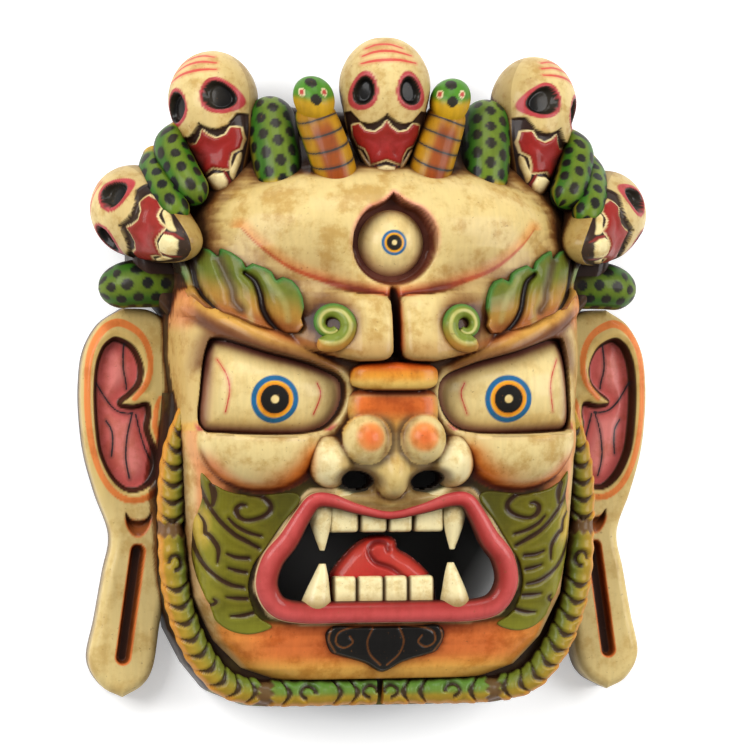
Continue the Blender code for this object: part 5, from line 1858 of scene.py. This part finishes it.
@dataclass
class Workshop:
    """What lies round the mask: pale floor, soft lights and the camera of the photograph."""

    lens: float = 160.0
    distance: float = 2.0
    turn: float = -11.0
    centre: tuple = (0.0, -0.0012, 0.070)
    aside: float = 0.00504
    hollow: tuple = (0.118, 0.19, 1.0)
    lights: tuple = (("left_softbox", (-1.35, 0.6, 1.35), 1.1, 31.0), ("right_softbox", (1.4, 0.3, 1.3), 1.1, 26.0),
                     ("crown_softbox", (-0.1, 1.6, 1.3), 1.0, 14.0))

    def floor(self) -> None:
        """A sheet of pale paper that glows round the mask as if lit from below, with a painted dark oval under the
        mask's hollow that stands for the shade inside it, seen through the mouth and nostrils.
        """
        material = bpy.data.materials.new("floor_matt_paper")
        material.use_nodes = True
        tree = material.node_tree
        tree.nodes.clear()
        place = add(tree, "ShaderNodeTexCoord").outputs["Object"]
        noise = add(tree, "ShaderNodeTexNoise", {}, {"Vector": place, "Scale": 9.0})
        tone = add(tree, "ShaderNodeMix", {"data_type": "RGBA"}, {
            0: noise.outputs["Fac"], 6: (*linear("F4F3F1"), 1), 7: (*linear("F8F8F7"), 1)})
        # painted shade: the dark oval under the hollow; and a glow round it that lights the paper though it is no
        # lamp
        oval = add(tree, "ShaderNodeVectorMath", {"operation": "DIVIDE"}, {0: place, 1: self.hollow})
        away = add(tree, "ShaderNodeVectorMath", {"operation": "LENGTH"}, {0: oval.outputs[0]})
        glow = add(tree, "ShaderNodeMapRange", {}, {
            "Value": away.outputs["Value"], "From Min": 0.95, "From Max": 1.15, "To Max": 0.35})
        shadow = add(tree, "ShaderNodeMapRange", {}, {
            "Value": away.outputs["Value"], "From Min": 0.95, "From Max": 0.85, "To Max": 0.85})
        tone = add(tree, "ShaderNodeMix", {"data_type": "RGBA"}, {
            0: shadow.outputs[0], 6: tone.outputs[2], 7: (*linear("3A3836"), 1)})
        shader = add(tree, "ShaderNodeBsdfPrincipled", {}, {
            "Base Color": tone.outputs[2], "Roughness": 0.9, "Emission Color": (1, 1, 1, 1),
            "Emission Strength": glow.outputs[0]})
        add(tree, "ShaderNodeOutputMaterial", {}, {"Surface": shader.outputs[0]})
        mesh = bpy.data.meshes.new("paper_floor")
        mesh.from_pydata([(-4, -4, 0), (4, -4, 0), (4, 4, 0), (-4, 4, 0)], [], [(0, 1, 2, 3)])
        mesh.materials.append(material)
        floor = bpy.data.objects.new("paper_floor", mesh)
        bpy.context.scene.collection.objects.link(floor)

    def light(self) -> None:
        """Wide softboxes low at the sides, so that the mouth stays dark."""
        for name, where, size, power in self.lights:
            lamp = bpy.data.lights.new(name, "AREA")
            lamp.shape, lamp.size, lamp.size_y, lamp.energy = "RECTANGLE", size, size, power
            body = bpy.data.objects.new(name, lamp)
            body.location = where
            body.rotation_euler = (Vector(where) - Vector((0, 0, 0.05))).to_track_quat("Z", "Y").to_euler()
            bpy.context.scene.collection.objects.link(body)
        world = bpy.data.worlds.new("studio_air")
        world.use_nodes = True
        world.node_tree.nodes["Background"].inputs["Color"].default_value = (0.95, 0.97, 1.0, 1)
        world.node_tree.nodes["Background"].inputs["Strength"].default_value = 0.30
        bpy.context.scene.world = world

    def camera(self) -> None:
        """Looks down on the lying mask from a little to the left of square."""
        a = math.radians(self.turn)
        back = Vector((math.sin(a), 0, math.cos(a)))
        right = Vector((math.cos(a), 0, -math.sin(a)))
        up = back.cross(right)
        place = Vector(self.centre) - right * self.aside + back * self.distance
        lens = bpy.data.cameras.new("photo_camera")
        lens.lens, lens.sensor_width = self.lens, 36.0
        camera = bpy.data.objects.new("photo_camera", lens)
        camera.matrix_world = Matrix.Translation(place) @ Matrix((right, up, back)).transposed().to_4x4()
        bpy.context.scene.collection.objects.link(camera)
        bpy.context.scene.camera = camera
        bpy.context.scene.view_settings.view_transform = "Standard"


def sink_depths(pieces: list[Carving], cell: float = 1.0) -> None:
    """Gives each point its depth below what is round it, for the antiquing patina and the painted shade in creases.

    The highest place over each square of a 1 mm map is kept, the map is blurred with Gaussians 2 and 8 mm wide, and
    a point's depth is about the mean of both blurred heights less its own height.

    Args:
        pieces: Every carved piece.
        cell: Size of a square in mm.
    """
    every = np.concatenate([p.points[p.front] for p in pieces])
    low = every[:, :2].min(0) - 20
    size = tuple(((every[:, :2].max(0) + 20 - low) / cell).astype(int) + 1)
    top = np.zeros(size)
    slot = ((every[:, :2] - low) / cell).astype(int)
    np.maximum.at(top, (slot[:, 0], slot[:, 1]), every[:, 2])
    for _ in range(2):
        spread_top = np.max([np.roll(top, s, a) for s in (-1, 1) for a in (0, 1)], 0)
        top = np.where(top <= 0, spread_top, top)
    fx, fy = np.fft.fftfreq(size[0], cell)[:, None], np.fft.fftfreq(size[1], cell)[None, :]
    smooth = [np.fft.ifft2(np.fft.fft2(top) * np.exp(-2 * (math.pi * s) ** 2 * (fx ** 2 + fy ** 2))).real
              for s in PATINA_AND_SHADE_BLURS_MM]
    for piece in pieces:
        at = ((piece.points[:, :2] - low) / cell).astype(int)
        near, wide = (s[at[:, 0], at[:, 1]] for s in smooth)
        piece.depth = (PATINA_AND_SHADE_SHARES[0] * near + PATINA_AND_SHADE_SHARES[1] * wide - piece.points[:, 2]) * (1 - piece.patina_and_shade_taken_off)


FINISHES = Finishes()


def main() -> None:
    """Carves every piece, reads the depths for the antiquing patina and painted shade, makes the meshes, and sets up
    the room.
    """
    logging.basicConfig(level=logging.INFO, format="%(message)s")
    workshop = Workshop()
    workshop.camera()
    head = Head()
    pieces = head.carve()
    pieces += Nose().carve(head) + Eyes().carve(head) + LeafBrow().carve(head) + Cheek().carve(head)
    pieces += Mouth().carve(head) + ChinTuft().carve(head) + Jaw().carve() + Ear().carve() + Crown().carve()
    sink_depths(pieces)
    for piece in pieces:
        piece.make(FINISHES)
    workshop.floor()
    workshop.light()


if __name__ == "__main__":
    main()
